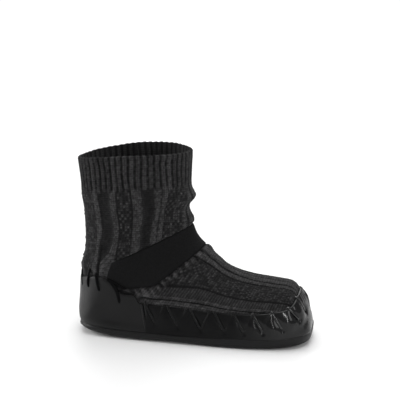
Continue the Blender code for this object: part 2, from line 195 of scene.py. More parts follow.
# Slow waves over two measures: size, rate along the first and the second measure, and start.
Wave = namedtuple("Wave", "size first second start")
KNIT_WAVES = (Wave(0.30, 0.31, 0.052, 0.6), Wave(0.22, 0.17, -0.093, 2.1), Wave(0.16, 0.73, 0.131, 4.0))
LUMP_WAVES = (Wave(0.16, 1.0, 300, 0.0), Wave(0.34, 0.7, 830, 1.0))
LEG_SWAY = (Wave(0.30, 0.060, 0.10, 0.0), Wave(0.18, 0.133, -0.23, 0.0))
FOOT_SWAY = (Wave(0.22, 0.055, 0.12, 0.0), Wave(0.12, 0.140, -0.25, 0.0))
TOE_WAVES = (Wave(0.35, 61, 90, 0.0), Wave(0.28, 103, -140, 1.7), Wave(0.16, 190, 60, 0.4))
HEEL_WAVES = (Wave(0.40, 48, 70, 0.5), Wave(0.30, 85, -110, 0.0), Wave(0.20, 150, 40, 2.0))
BAND_WAVES = (Wave(0.22, 90, 3.0, 0.0), Wave(0.16, 170, -7.0, 1.0))


def ring_table():
    """Every ring as under x, under z, over x, over z, half width, widest, low, high, sway, bow."""
    rows = []
    for r in FOOT_RINGS:
        share = max(0.0, (r.under_x - SWAY_START) / (1 - SWAY_START))
        rows.append((r.under_x * FORM_LENGTH, FORM_BASE + r.rise * TOE_SPRING, r.over_x * FORM_LENGTH,
                     r.over_z * INSTEP_HEIGHT, r.half_width * BALL_WIDTH, r.widest, r.low, r.high,
                     TOE_SWAY * share ** 2, 0.0))
    for r in TURN_RINGS:
        rows.append((r.under_x * FORM_LENGTH, FORM_BASE + r.lift * HEEL_LIFT + r.climb * SHAFT_HEIGHT,
                     r.over_x * FORM_LENGTH, INSTEP_HEIGHT + r.over_z * (SHAFT_HEIGHT - INSTEP_HEIGHT),
                     (HEEL_WIDTH + r.shaft * (SHAFT_WIDTH - HEEL_WIDTH)) / 2 * r.swell,
                     r.widest, r.low, r.high, 0.0, r.bow * SHAFT_HEIGHT))
    return np.array(rows)


RINGS = ring_table()
SHIFT = np.array((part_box("knit_upper")[1].x - FORM_LENGTH, 0.0, 0.0))


def smooth_between(a, b, c, d, t):
    """The value at share t from b to c on a smooth curve through all four."""
    return 0.5 * (2 * b + (c - a) * t + (2 * a - 5 * b + 4 * c - d) * t * t
                  + (3 * b - a - 3 * c + d) * t ** 3)


def form_points(u, a):
    """Form places at ring place u and at angle a from the top or the front, positive on the inner side."""
    u = np.clip(np.asarray(u, float), 0, LAST_RING)
    i = np.minimum(u.astype(int), LAST_RING - 1)
    t = (u - i)[..., None]
    near = [RINGS[np.clip(i + k, 0, LAST_RING)] for k in (-1, 0, 1, 2)]
    ux, uz, ox, oz, half, widest, low, high, sway, bow = np.moveaxis(smooth_between(*near, t), -1, 0)
    cosine, sine = np.cos(a), np.sin(a)
    up = cosine > 0
    power = np.where(up, high, low)
    reach = np.where(up, 1 - widest, widest)
    across = np.sign(sine) * np.abs(sine) ** (2 / power) * half
    along = widest + np.sign(cosine) * np.abs(cosine) ** (2 / power) * reach
    x = ux + (ox - ux) * along
    z = uz + (oz - uz) * along + 4 * along * (1 - along) * bow
    return np.stack((x, sway + across, z), -1)


def unit(vectors):
    """The same directions, each of length 1."""
    return vectors / np.maximum(np.linalg.norm(vectors, axis=-1, keepdims=True), 1e-12)


def running(points, axis=0):
    """How far each point of a line is along it, from 0 at its start."""
    steps = np.linalg.norm(np.diff(points, axis=axis), axis=-1)
    return np.concatenate((np.zeros_like(steps.take([0], axis)), np.cumsum(steps, axis=axis)), axis=axis)


def waves(parts, first, second):
    """The sum of slow waves over two measures."""
    return sum(p.size * np.sin(first * p.first + second * p.second + p.start) for p in parts)


def hump(value, middle, reach):
    """1 at the middle, and softly down to 0 on either side."""
    return np.exp(-((value - middle) / reach) ** 2)


def evened(table, axis):
    """Every place but the first and the last along an axis, eased towards its two neighbours."""
    rows = np.moveaxis(table, axis, 0)
    return np.moveaxis((rows[:-2] + 2 * rows[1:-1] + rows[2:]) / 4, 0, axis)


def between(table, i, j, s, t):
    """A table's value a share s past row i and a share t past column j."""
    return ((table[i, j] * (1 - t) + table[i, j + 1] * t) * (1 - s)
            + (table[i + 1, j] * (1 - t) + table[i + 1, j + 1] * t) * s)


def form_normals(u, a, step=0.012):
    """Outward directions of the form."""
    along = form_points(u + step, a) - form_points(u - step, a)
    round_it = form_points(u, a + step) - form_points(u, a - step)
    return unit(np.cross(round_it, along))


class WaleTable:
    """Which angle on a ring lies at a share of the half round, so that stitches keep an even width."""

    def __init__(self, per_ring=16, shares=240, samples=3000):
        self.per_ring = per_ring
        self.shares = np.linspace(0, 1, shares + 1)
        places = np.arange(LAST_RING * per_ring + 1) / per_ring
        angles = np.linspace(0, np.pi, samples)
        self.angle = np.empty((len(places), shares + 1))
        for row, u in enumerate(places):
            line = form_points(np.full(samples, u), angles)
            length = running(line) + np.linspace(0, 1e-9, samples)
            self.angle[row] = np.interp(self.shares, length / length[-1], angles)

    def angles(self, u, wale):
        """The signed angle at ring place u and this many wales from the top or the front."""
        share = np.clip(np.abs(wale) / HALF_WALES, 0, 1) * (len(self.shares) - 1)
        place = np.clip(u, 0, LAST_RING) * self.per_ring
        i = np.minimum(place.astype(int), self.angle.shape[0] - 2)
        j = np.minimum(share.astype(int), self.angle.shape[1] - 2)
        s, t = place - i, share - j
        return np.sign(wale) * between(self.angle, i, j, s, t)


WALE_TABLE = WaleTable()


def line_of(points, length, height, steps=8):
    """A smooth side line through points that are shares of a length and a height."""
    points = np.array(points) * (length, height)
    last = len(points) - 1
    found = []
    for i in range(last):
        near = [points[max(0, min(last, i + k))] for k in (-1, 0, 1, 2)]
        found += [smooth_between(*near, step / steps) for step in range(steps)]
    return np.array(found + [points[last]])


def wrap_points():
    """The toe wrap's top line: along the side, then up round the toe."""
    side = [(x * FORM_LENGTH, z * WRAP_HEIGHT) for x, z in WRAP_TOP]
    climb = [(VAMP_END_X + x * BALL_WIDTH, WRAP_HEIGHT + z * INSTEP_HEIGHT) for x, z in TOE_CLIMB]
    return line_of(side + climb, 1, 1)


COUNTER_LINE = line_of(COUNTER_TOP, FORM_LENGTH, COUNTER_HEIGHT)
WRAP_LINE = wrap_points()
RIM_LINE = line_of(RIM_TOP, FORM_LENGTH, SOLE_RIM_HEIGHT)


def counter_top(x):
    """Height of the heel leather's top edge."""
    return np.interp(x, *COUNTER_LINE.T)


def wrap_top(x):
    """Height of the toe leather's top edge."""
    return np.interp(x, *WRAP_LINE.T, right=FAR)


def rim_top(x):
    """Height of the sole's rim."""
    return np.interp(x, *RIM_LINE.T)


def leather_top(x):
    """Height of the leather's top edge, heel or toe."""
    return np.where(x < SIDE_SEAM_X, counter_top(x), wrap_top(x))


BAND_WAY = np.array((BAND_FRONT[0] - BAND_FOOT[0], BAND_FRONT[1] - BAND_FOOT[1]))
BAND_LENGTH = float(np.linalg.norm(BAND_WAY))
BAND_WAY = BAND_WAY / BAND_LENGTH
BAND_ACROSS = np.array((-BAND_WAY[1], BAND_WAY[0]))


def band_places(x, z):
    """How far a side place is along the band, above its lower edge and below its upper edge."""
    dx, dz = x - BAND_FOOT[0], z - BAND_FOOT[1]
    along = dx * BAND_WAY[0] + dz * BAND_WAY[1]
    across = dx * BAND_ACROSS[0] + dz * BAND_ACROSS[1]
    half = (BAND_FOOT_WIDTH + (BAND_WIDTH - BAND_FOOT_WIDTH) * np.clip(along / BAND_LENGTH, -1, 2)) / 2
    return along, across + half, half - across


def band_foot(x):
    """The height at which the band ends above the leather's top edge."""
    return np.interp(x, *np.array(BAND_ENDS).T)


def ease(low, high, value):
    """0 below low, 1 above high, and a soft step between."""
    t = np.clip((value - low) / (high - low), 0, 1)
    return t * t * (3 - 2 * t)


def hash_of(number):
    """A fixed scatter between 0 and 1 for each whole number."""
    return np.modf(np.abs(np.sin(number * 12.9898) * 43758.5453))[0]


def select(*pieces):
    """Leaves edit mode and selects these pieces alone, the first of them as the active one."""
    if bpy.context.object and bpy.context.object.mode != "OBJECT":
        bpy.ops.object.mode_set(mode="OBJECT")
    bpy.ops.object.select_all(action="DESELECT")
    for piece in pieces:
        piece.select_set(True)
    if pieces:
        bpy.context.view_layer.objects.active = pieces[0]


def in_edit_mode(piece, *steps):
    """Runs the steps in edit mode with all of the piece selected."""
    select(piece)
    bpy.ops.object.mode_set(mode="EDIT")
    bpy.ops.mesh.select_all(action="SELECT")
    for step in steps:
        step()
    bpy.ops.object.mode_set(mode="OBJECT")


def merge_close():
    """Merges points that meet and drops faces without an area."""
    bpy.ops.mesh.remove_doubles(threshold=2e-6)
    bpy.ops.mesh.dissolve_degenerate(threshold=1e-6)


def face_outwards():
    """Turns the selected faces outwards."""
    bpy.ops.mesh.normals_make_consistent(inside=False)


def grid_piece(name, places, pattern=None, closed=True, **attributes):
    """A grid primitive whose points are laid at places[row, column], in form places.

    pattern gives each point its place in the pattern, in stitches or mm, as the UV map. Each further
    name is a point attribute. A closed piece has its meeting edges merged and faces outwards.
    """
    rows, columns = places.shape[:2]
    select()
    bpy.ops.mesh.primitive_grid_add(x_subdivisions=columns - 1, y_subdivisions=rows - 1, size=1)
    piece = bpy.context.object
    piece.name = piece.data.name = name
    mesh = piece.data
    flat = np.empty(len(mesh.vertices) * 3)
    mesh.vertices.foreach_get("co", flat)
    flat = flat.reshape(-1, 3)
    column = np.rint((flat[:, 0] + 0.5) * (columns - 1)).astype(int)
    row = np.rint((flat[:, 1] + 0.5) * (rows - 1)).astype(int)
    mesh.vertices.foreach_set("co", (places[row, column] + SHIFT).ravel())
    if pattern is not None:
        corner = np.empty(len(mesh.loops), int)
        mesh.loops.foreach_get("vertex_index", corner)
        mesh.uv_layers.active.data.foreach_set("uv", pattern[row, column][corner].ravel())
    for label, values in attributes.items():
        mesh.attributes.new(label, "FLOAT", "POINT").data.foreach_set("value", values[row, column].ravel())
    mesh.update()
    if closed:
        in_edit_mode(piece, merge_close, face_outwards)
    select()
    return piece


def wall_piece(name, outer, inner, pattern, across):
    """A closed piece between two skins, looped round this axis and drawn together at its two ends."""
    along = 1 - across

    def looped(front, back):
        return np.concatenate((front, np.flip(back, across), front.take([0], across)), across)

    loop, uv = looped(outer, inner), looped(pattern, pattern)
    ends = [np.broadcast_to(edge.mean(across, keepdims=True), edge.shape)
            for edge in (loop.take([0], along), loop.take([-1], along))]
    loop = np.concatenate((ends[0], loop, ends[1]), along)
    uv = np.concatenate((uv.take([0], along), uv, uv.take([-1], along)), along)
    return grid_piece(name, loop, uv)


def apply_modifier(piece, kind, **settings):
    """Adds a modifier and applies it."""
    select(piece)
    modifier = piece.modifiers.new(kind.title(), kind)
    for key, value in settings.items():
        setattr(modifier, key, value)
    bpy.ops.object.modifier_apply(modifier=modifier.name)
    select()


def joined(name, pieces):
    """One piece from several."""
    select(*pieces)
    bpy.ops.object.join()
    whole = bpy.context.view_layer.objects.active
    whole.name = whole.data.name = name
    select()
    return whole


def finish_piece(piece, material, slot, *nodes):
    """Gives the piece its material and shading, and ties it to the frame."""
    piece.data.materials.clear()
    piece.data.materials.append(material)
    select(piece)
    bpy.ops.object.shade_smooth()
    select()
    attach(piece, "root")
    if nodes:
        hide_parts(*nodes)


def stitch_scatter(stitch, wale):
    """A fixed scatter for each stitch, by the numbers of its wale and its course."""
    return hash_of(stitch[0] * 3.1 + stitch[1] * 7.7 + (wale > 0) * 5.3)


def panel_relief(panels, wale, course, sizes):
    """Height in mm and lightness of the stitches at these wales and courses. The lightness holds painted
    light on the crowns of ribs, knobs and ladder bars and painted shade in the grooves, channels and valleys,
    beside the yarn's own scattered tone.
    """
    on_leg = panels is LEG_PANELS
    side, course = np.abs(wale), course + COURSE_START
    gap, size = (LEG_GAP_MM, sizes.moss_size) if on_leg else (FOOT_GAP_MM, 1.0)
    height = np.full(side.shape, -gap)
    # painted shade: the grooves between panels are darker, the deeper they are
    light = np.full(side.shape, 0.12 - 0.10 * gap)
    bar = np.cos(2 * np.pi * (np.modf(course)[0] - 0.5))
    scatter = stitch_scatter((np.floor(side + 1e-6), np.floor(course + 1e-6)), wale)
    spread = scatter - 0.5
    moss = np.floor(side / size + 1e-6), np.floor(course / size + 1e-6)
    knob = np.sin(np.pi * np.modf(side / size)[0]) * np.sin(np.pi * np.modf(course / size)[0])
    bold = stitch_scatter(moss, wale)
    for panel in panels:
        inside = (side >= panel.start - 1e-3) & (side < panel.end + 1e-3)
        share = np.clip((side - panel.start) / (panel.end - panel.start), 0, 1)
        crown = 1 - np.abs(2 * share - 1) ** 3
        valley = np.abs(np.cos(np.pi * side)) ** 2.5
        if panel.kind == "rib":
            lift = sizes.rib_height * (0.35 + 0.65 * crown) - 0.38 * valley + 0.08 * bar + 0.26 * spread
            # painted light on the rib's crown and painted shade in the valleys between its wales; spread is
            # the yarn's own scatter
            tone = 0.38 + 0.32 * crown - 0.28 * valley + 0.03 * bar + 0.46 * spread
        elif panel.kind == "channel":
            lift = -sizes.channel_depth * (0.30 + 0.70 * crown) + 0.06 * bar
            # painted shade, darkest in the middle of the channel
            tone = 0.14 - 0.11 * crown + 0.02 * bar + 0.10 * scatter
        elif panel.kind == "ladder":
            lift = -0.35 * sizes.channel_depth + 0.17 * bar
            # painted light on the ladder's raised bars
            tone = 0.31 + 0.17 * bar + 0.22 * spread
        else:
            raised = (np.modf((moss[0] + moss[1]) / 2)[0] > 0.25) != (hash_of(bold * 91 + 3) > 0.66)
            rise = sizes.bobble_height * (1.0 if on_leg else 0.6) * (0.35 + 1.3 * bold ** 2)
            lift = np.where(raised, rise * knob, -0.40 * knob * (1.2 - bold))
            # painted light on the tops of raised knobs and painted shade in the sunken ones
            tone = np.where(raised, 0.19 + (0.15 + 0.68 * bold ** 2) * knob, 0.16 - 0.12 * knob)
        height = np.where(inside, lift, height)
        light = np.where(inside, tone, light)
    return height, light


def cuff_relief(wale, course, sizes):
    """The narrow rib at the top of the leg."""
    course = course + COURSE_START
    wave = np.cos(2 * np.pi * (wale - 1) / CUFF_RIB) + 0.16
    round_rib = np.clip(np.sign(wave) * np.abs(wave / 0.9) ** 0.6, -0.9, 1)
    valley = np.abs(np.cos(np.pi * wale)) ** 4 * (round_rib > 0)
    bar = np.cos(2 * np.pi * (np.modf(course)[0] - 0.5))
    scatter = hash_of(np.floor(wale + WALE_START) * 3.7 + np.floor(course) * 9.1) - 0.5
    rib = hash_of(np.floor((wale + WALE_START) / CUFF_RIB) * 5.1) - 0.5
    height = sizes.cuff_height * round_rib - 0.42 * valley + 0.14 * bar + 0.20 * scatter
    # the lightness holds painted light on the ribs' tops and painted shade in the purl valleys between them,
    # beside each stitch's and each rib's own scattered tone
    return height, 0.27 + 0.27 * round_rib - 0.26 * valley + 0.30 * scatter + 0.22 * rib


def folds_at(folds, wale, height):
    """The soft folds' height in mm."""
    total = np.zeros(wale.shape)
    for fold in folds:
        share = hump(wale, fold.wale, fold.reach_wales) * hump(height, fold.height, fold.reach)
        total += fold.height_mm * share
    return total


def pressed(place):
    """How free the knit is, from 0 under the band or the leather to 1 in the open, and its puckers in mm."""
    x, y, z = np.moveaxis(place, -1, 0)
    along, above_low, below_high = band_places(x, z)
    above_low = np.minimum(above_low, z - band_foot(x))
    reach = along + BAND_END_REACH * BAND_LENGTH
    in_band = np.minimum(np.minimum(above_low, below_high), reach)
    free = ease(-0.0006, 0.0022, -in_band) * ease(-0.0002, 0.0030, z - leather_top(x))
    turn = np.arctan2(y, 0.5 * (z - 0.055)) * 6.0
    lumps = np.clip(0.5 + waves(LUMP_WAVES, turn, along), 0, 1) ** 1.5
    at_low = hump(np.clip(-above_low, 0, None), PUCKER_OFF, PUCKER_REACH) * (above_low < 0)
    at_high = hump(np.clip(-below_high, 0, None), PUCKER_OFF, PUCKER_REACH) * (below_high < 0) * (along > 0)
    by_the_seam = hump(x, 0.0835, 0.0075) * hump(z, 0.0500, 0.0028)
    pucker = (0.4 + 3.6 * lumps) * at_low + (0.9 + 0.7 * lumps) * at_high + 2.1 * by_the_seam
    return free, pucker * ease(0.0, 0.010, reach) * free


def knit_offsets(u, angle, wale, run_mm, relief, light, folds):
    """Outer places and lightness of the knit once it is folded, pressed and puckered."""
    base = form_points(u, angle)
    free, pucker = pressed(base)
    uneven = waves(KNIT_WAVES, wale, run_mm)
    lift = relief + uneven + folds_at(folds, wale, base[..., 2]) + pucker
    height = lift * free - 0.25 * (1 - free)
    # behind the band's end the knit lies in shade, and a high pucker catches the light
    shade = 1 - 0.6 * ease(0.0760, 0.0710, base[..., 0]) * ease(0.0580, 0.0555, base[..., 2])
    tone = light * shade + 0.26 * np.clip(pucker - 1.4, 0, 2)
    # painted shade: the knit is darker where its slow waves dip in
    tone = np.clip(tone - 0.05 * np.clip(-uneven, 0, 1), 0, 1)
    return base + form_normals(u, angle) * (height * MM)[..., None], tone


def wale_runs(columns, start, end, samples=420):
    """Ring places along each wale, how far each is from the start in mm, and where they are."""
    places = np.linspace(start, end, samples)
    u, wale = np.meshgrid(places, columns, indexing="ij")
    line = form_points(u, WALE_TABLE.angles(u, wale))
    return places, running(line) / MM, line


def foot_pattern(u, angle, wale):
    """The foot pattern's wales: its ladder is led along the side as the ladder's way says."""
    x = form_points(u, angle)[..., 0]
    ways = np.array(LADDER_WAY).T
    top, bottom = np.interp(x, ways[0], ways[1]), np.interp(x, ways[0], ways[2])
    side = np.abs(wale)
    start, low, high = FOOT_PANELS[2].start, FOOT_PANELS[3].start, FOOT_PANELS[3].end
    found = np.where(side < start, side, start + (side - start) * (low - start) / (top - start))
    found = np.where(side > top, low + (side - top) * (high - low) / (bottom - top), found)
    found = np.where(side > bottom, high + 0.8 * (side - bottom), found)
    return np.sign(wale) * found


def pinched(u, angle, wale):
    """The pattern's wales, with the dark channel near the heel drawn shut between its two ribs."""
    x, y, z = np.moveaxis(form_points(u, angle), -1, 0)
    near = (np.abs(z - PINCH_LOW) < 0.0015) & (y < 0)
    middle = np.abs(wale[near][np.abs(x[near] - PINCH_X).argmin()])
    channel = (LEG_PANELS[PINCHED_PANEL].start + LEG_PANELS[PINCHED_PANEL].end) / 2
    side = np.abs(wale)
    drawn = side + (channel - middle) * hump(side, middle, PINCH_DRAWN)
    drawn += PINCH_WALES * np.tanh((side - middle) / 0.7) * hump(side, middle, PINCH_REACH)
    pull = 1 - ease(PINCH_LOW, PINCH_HIGH, z)
    return np.sign(wale) * (side * (1 - pull) + drawn * pull)


def leg_knit(sizes):
    """The leg of the sock from the collar to where the band covers it, one closed wall."""
    columns = np.arange(-HALF_WALES * FINE, HALF_WALES * FINE + 1) / FINE
    places, runs, line = wale_runs(columns, LAST_RING, SPLIT_RING)
    below = line[..., 2] < KNIT_FOOT
    last = np.where(below.any(0), below.argmax(0), len(places) - 1)
    ends = runs[last, np.arange(len(columns))]
    outer = np.concatenate((np.arange(0, CUFF_MM, COURSE_MM / 2),
                            np.arange(CUFF_MM, COVERED_MM, COURSE_MM / FINE),
                            np.linspace(COVERED_MM, runs[-1].max(), COVERED_ROWS)))
    inner = np.linspace(0, runs[-1].max(), INNER_ROWS)
    run = np.minimum(np.concatenate((outer[::-1], inner))[:, None], ends)
    u = np.stack([np.interp(run[:, j], runs[:, j], places) for j in range(len(columns))], axis=1)
    wale = np.broadcast_to(columns, u.shape)
    course = run / COURSE_MM
    sway = waves(LEG_SWAY, run, wale) * ease(0, 8, run) * (HALF_WALES - np.abs(wale) > 0.5)
    angle = WALE_TABLE.angles(u, wale + sway)
    height, light = panel_relief(LEG_PANELS, pinched(u, angle, wale), course, sizes)
    cuff_height, cuff_light = cuff_relief(wale, course, sizes)
    ragged = CUFF_MM + 3.5 * (hash_of(np.floor(wale / 2)) - 0.5)
    body = ease(-1.8, 1.8, run - ragged)
    height = cuff_height * (1 - body) + height * body
    light = cuff_light * (1 - body) + light * body
    place, tone = knit_offsets(u, angle, wale, run, height, light, LEG_FOLDS)
    place[:, -1], tone[:, -1] = place[:, 0], tone[:, 0]
    normal = form_normals(u, angle)
    count = len(outer)
    inside = np.arange(len(run)) >= count
    inner_height, inner_light = cuff_relief(wale[inside] + 2, course[inside], sizes)
    depth = sizes.knit_wall - 0.45 * (1 - body[inside]) * np.clip(inner_height, -0.6, 0.6)
    place[inside] = form_points(u, angle)[inside] - normal[inside] * (depth * MM)[..., None]
    place[inside, -1] = place[inside, 0]
    # painted shade: the inside of the leg is darker than its outside
    tone[inside] = 0.62 * (inner_light * (1 - body[inside]) + 0.30 * body[inside])
    turn = np.linspace(0, np.pi, LIP_STEPS)[1:-1]
    up = np.array((0, 0, 1.0))
    out = place[count - 1] - place[count]
    middle = (place[count - 1] + place[count]) / 2
    half = np.linalg.norm(out, axis=-1, keepdims=True) / 2
    lip = [middle + unit(out) * half * math.cos(t) + up * half * 0.9 * math.sin(t) for t in turn]

    def with_lip(table, lip):
        return np.concatenate((table[:count], lip, table[count:], table[:1]))

    turned = np.zeros((len(lip), 1))
    place = with_lip(place, lip)
    tone = with_lip(tone, tone[count - 1] + turned)
    course = with_lip(course, course[count - 1] - 0.5 + turned)
    wale = np.broadcast_to(columns, course.shape)
    return grid_piece("leg_knit", place, np.stack((wale, -course), -1), ridge=tone)


def foot_knit(sizes):
    """The knitted top of the foot, from under the band to under the toe leather."""
    fine = np.arange(-FINE_REACH * FINE, FINE_REACH * FINE + 1) / FINE
    places, runs, _ = wale_runs(fine, SPLIT_RING, TOE_RING)
    rows = FOOT_COURSES * FINE
    shares = np.linspace(0, 1, rows + 1)
    u = np.stack([np.interp(shares * runs[-1, j], runs[:, j], places) for j in range(len(fine))], axis=1)
    low_wale = np.linspace(FINE_REACH, HALF_WALES - 0.5, 120)
    edge_u = np.repeat(u[:, :1], len(low_wale), 1)
    lows = form_points(edge_u, WALE_TABLE.angles(edge_u, np.broadcast_to(low_wale, edge_u.shape)))
    under = lows[..., 2] < KNIT_FOOT
    ends = low_wale[np.where(under.any(1), under.argmax(1), len(low_wale) - 1)]
    right = FINE_REACH + (ends[:, None] - FINE_REACH) * np.linspace(0, 1, SPARE_COLUMNS + 1)[1:]
    wale = np.concatenate((-right[:, ::-1], np.broadcast_to(fine, u.shape), right), axis=1)
    u = np.pad(u, ((0, 0), (SPARE_COLUMNS, SPARE_COLUMNS)), mode="edge")
    course = np.broadcast_to((shares * rows / FINE)[:, None], u.shape)
    run = course * COURSE_MM
    sway = waves(FOOT_SWAY, run, wale) * (np.abs(wale) < FINE_REACH)
    angle = WALE_TABLE.angles(u, wale + sway)
    height, light = panel_relief(FOOT_PANELS, foot_pattern(u, angle, wale), course, sizes)
    taper = ease(0, 3.5, u - TOE_RING)
    place, tone = knit_offsets(u, angle, wale, run, height * (0.35 + 0.65 * taper), light, ())
    piece = grid_piece("foot_knit", place, np.stack((wale, course), -1), closed=False, ridge=tone)
    turn_out(piece)
    apply_modifier(piece, "SOLIDIFY", thickness=sizes.knit_wall * MM, offset=-1.0, use_rim=True)
    return piece


def turn_out(piece):
    """Turns an open surface's faces away from the inside of the shoe."""
    mesh = piece.data
    face = mesh.polygons[len(mesh.polygons) // 2]
    if face.normal.dot(face.center - Vector((face.center.x, 0, SPINE_HEIGHT))) < 0:
        in_edit_mode(piece, bpy.ops.mesh.flip_normals)


# The middle line inside the foot, from which places on the leather are found outwards.
SPINE_HEEL = 0.045
SPINE_TOE = 0.205
SPINE_HEIGHT = 0.020
LOWEST_DEGREES = -90
STEEPEST = math.radians(89.7)
OFF_SEAM = 0.00002  # keeps the search off the seam of the form's faces
HIGHEST_DEGREES = 72
OUTLINE_DEGREES = -4  # the slope at which distances round the foot are measured
WAY_FAN = 90  # directions in a quarter turn at the heel or the toe
WAY_SIDE = 190  # places along each side


def found_on(tree, origin, aim):
    """The place on the form in this direction; the search is turned a little where it meets a seam."""
    for turn in (0.0, 0.002, -0.003, 0.005):
        hit = tree.ray_cast(origin, (aim + Vector((turn, -turn, 0))).normalized())[0]
        if hit:
            return hit
    raise ValueError(f"nothing found from {origin} towards {aim}")


def way_round():
    """The way round the foot from the back of the heel: shares of the spine's length, and headings."""
    quarter = np.linspace(0, np.pi / 2, WAY_FAN, endpoint=False)
    toe = np.linspace(0, np.pi, 2 * WAY_FAN, endpoint=False)
    run = np.linspace(0, 1, WAY_SIDE, endpoint=False)
    heading = np.concatenate((np.pi + quarter, np.full(WAY_SIDE, 1.5 * np.pi), 1.5 * np.pi + toe,
                              np.full(WAY_SIDE, 2.5 * np.pi), 2.5 * np.pi + quarter, [3 * np.pi]))
    share = np.concatenate((np.zeros(WAY_FAN), run, np.ones(2 * WAY_FAN), 1 - run, np.zeros(WAY_FAN), [0]))
    return share, heading


class Skin:
    """Places on the form by a way round the shoe and a slope up from the middle line inside the foot."""

    def __init__(self):
        share, self.heading = way_round()
        self.middle = len(self.heading) // 2
        x = SPINE_HEEL + (SPINE_TOE - SPINE_HEEL) * share
        swayed = np.clip((x / FORM_LENGTH - SWAY_START) / (1 - SWAY_START), 0, 1)
        self.trace(np.stack((x, TOE_SWAY * swayed ** 2, np.full(len(x), SPINE_HEIGHT)), -1))
        outline = self.places[:, OUTLINE_DEGREES - LOWEST_DEGREES]
        self.length, self.outline_x = running(outline), outline[:, 0]
        round_it = np.gradient(self.closed_round(), axis=0)[1:-1]
        self.normals = unit(np.cross(round_it, np.gradient(self.places, axis=1)))
        outward = (self.normals * (self.places - self.places.mean((0, 1)))).sum(-1).mean()
        self.normals *= np.sign(outward)
        self.normals[:, 0] = (0, 0, -1)

    def trace(self, spine):
        """Finds the places on the form, the lowest of them straight below the spine."""
        slopes = np.maximum(np.radians(np.arange(LOWEST_DEGREES, HIGHEST_DEGREES + 1)), -STEEPEST)
        tree, self.places = form_tree(), np.empty((len(spine), len(slopes), 3))
        for i, ((x, side, height), way) in enumerate(zip(spine, self.heading)):
            origin = Vector((x, side + OFF_SEAM, height))
            for j, slope in enumerate(slopes):
                level = math.cos(slope)
                aim = Vector((level * math.cos(way), level * math.sin(way), math.sin(slope)))
                self.places[i, j] = found_on(tree, origin, aim)
        self.soften(3)
        for i, (x, side, height) in enumerate(spine):
            under = tree.ray_cast(Vector((x, side + 20 * OFF_SEAM, height)), Vector((0, 0, -1)))[0]
            self.places[i, 0] = (x, side, under.z)

    def closed_round(self):
        """The places with one more row at each end, so that the way round has no break."""
        return np.concatenate((self.places[-2:-1], self.places, self.places[1:2]))

    def soften(self, times):
        """Evens out the small facets of the traced form."""
        for _ in range(times):
            self.places = evened(self.closed_round(), 0)
            self.places[:, 1:-1] = evened(self.places, 1)

    def at(self, way, slope):
        """Places and outward directions at these ways, in table steps, and slopes in degrees."""
        way = np.clip(way, 0, len(self.heading) - 1)
        slope = np.clip(slope - LOWEST_DEGREES, 0, self.places.shape[1] - 1)
        i = np.minimum(way.astype(int), len(self.heading) - 2)
        j = np.minimum(slope.astype(int), self.places.shape[1] - 2)
        s, t = (way - i)[..., None], (slope - j)[..., None]
        place, normal = (between(table, i, j, s, t) for table in (self.places, self.normals))
        return place, unit(normal)

    def slope_at(self, line, raised=0.0):
        """For each way round, the slope in degrees where the skin meets a side line."""
        over = self.places[..., 2] - line(self.places[..., 0]) - raised
        j = np.clip((over > 0).argmax(1), 1, None)
        rows = np.arange(len(j))
        a, b = over[rows, j - 1], over[rows, j]
        return LOWEST_DEGREES + j - 1 + np.clip(-a / np.where(b - a == 0, 1, b - a), 0, 1)

    def way_at_x(self, x, inner=False):
        """The way round where the outline is at x, on the outer or the inner side."""
        half = slice(self.middle, None) if inner else slice(None, self.middle)
        ways = np.arange(len(self.heading))[half]
        xs = self.outline_x[half]
        order = np.argsort(xs)
        return np.interp(x, xs[order], ways[order])

    def run_at(self, way):
        """How far round a way is from the back of the heel, in metres."""
        return np.interp(way, np.arange(len(self.length)), self.length)

    def way_at(self, run):
        """The way round that is this far from the back of the heel; past either end it goes on round."""
        return np.interp(np.mod(run, self.length[-1]), self.length, np.arange(len(self.length)))

    def slope_of(self, way, slopes):
        """The slope at these ways, from one slope for each step round."""
        return np.interp(way, np.arange(len(self.heading)), slopes)


def form_tree(per_ring=20, columns=420):
    """The form as a search tree of fine faces."""
    places = np.arange(LAST_RING * per_ring + 1) / per_ring
    wales = np.linspace(-HALF_WALES, HALF_WALES, columns + 1)
    u, wale = np.meshgrid(places, wales, indexing="ij")
    points = form_points(u, WALE_TABLE.angles(u, wale)).reshape(-1, 3)
    index = np.arange(len(points)).reshape(u.shape)
    faces = np.stack((index[:-1, :-1], index[:-1, 1:], index[1:, 1:], index[1:, :-1]), -1).reshape(-1, 4)
    return BVHTree.FromPolygons(points.tolist(), faces.tolist())


SKIN = Skin()


SEAM_GAP = 0.0002  # from the side seam's line to either leather
LEATHER_ROWS = 40
TOE_COLUMNS = 620
HEEL_COLUMNS = 280
TOP_ROLL = 0.0022  # how far from its edges the leather rounds off
EDGE_ROLL = 0.0016
INNER_LIFT = 0.9  # the leather's inner face lies this share of the clearance off the form
LEAST_LIFT_MM = 0.55
ROLL_SHARE = 0.75  # of the leather's wall that is rounded off at an edge
RIM_REACH = 0.0060
LEAN_REACH = 0.030
PUFF_REACH = 0.0042  # how far beside a strand it holds the puffs down
GROOVE_REACH = 0.0016
PLEAT_STEP = 0.0078
HEEL_SWELL_MM = 0.25

# The lace holes' distances from the toe's middle, in mm: closer together where the toe leather is gathered.
HOLES_MM = (12.0, 31.0, 49.5, 69.0, 88.0, 107.5, 132.0, 156.0, 180.0)


def hole_runs(leather):
    """Where the lace holes are round the toe, in metres from the back of the heel."""
    toe = SKIN.run_at(SKIN.middle)
    first = SKIN.run_at(SKIN.way_at_x(leather.first_hole))
    steps = np.array(HOLES_MM) * (toe - first) / HOLES_MM[-1]
    return np.concatenate((toe - steps[::-1], toe + steps))


Strand = namedtuple("Strand", "low_run high_run weight")


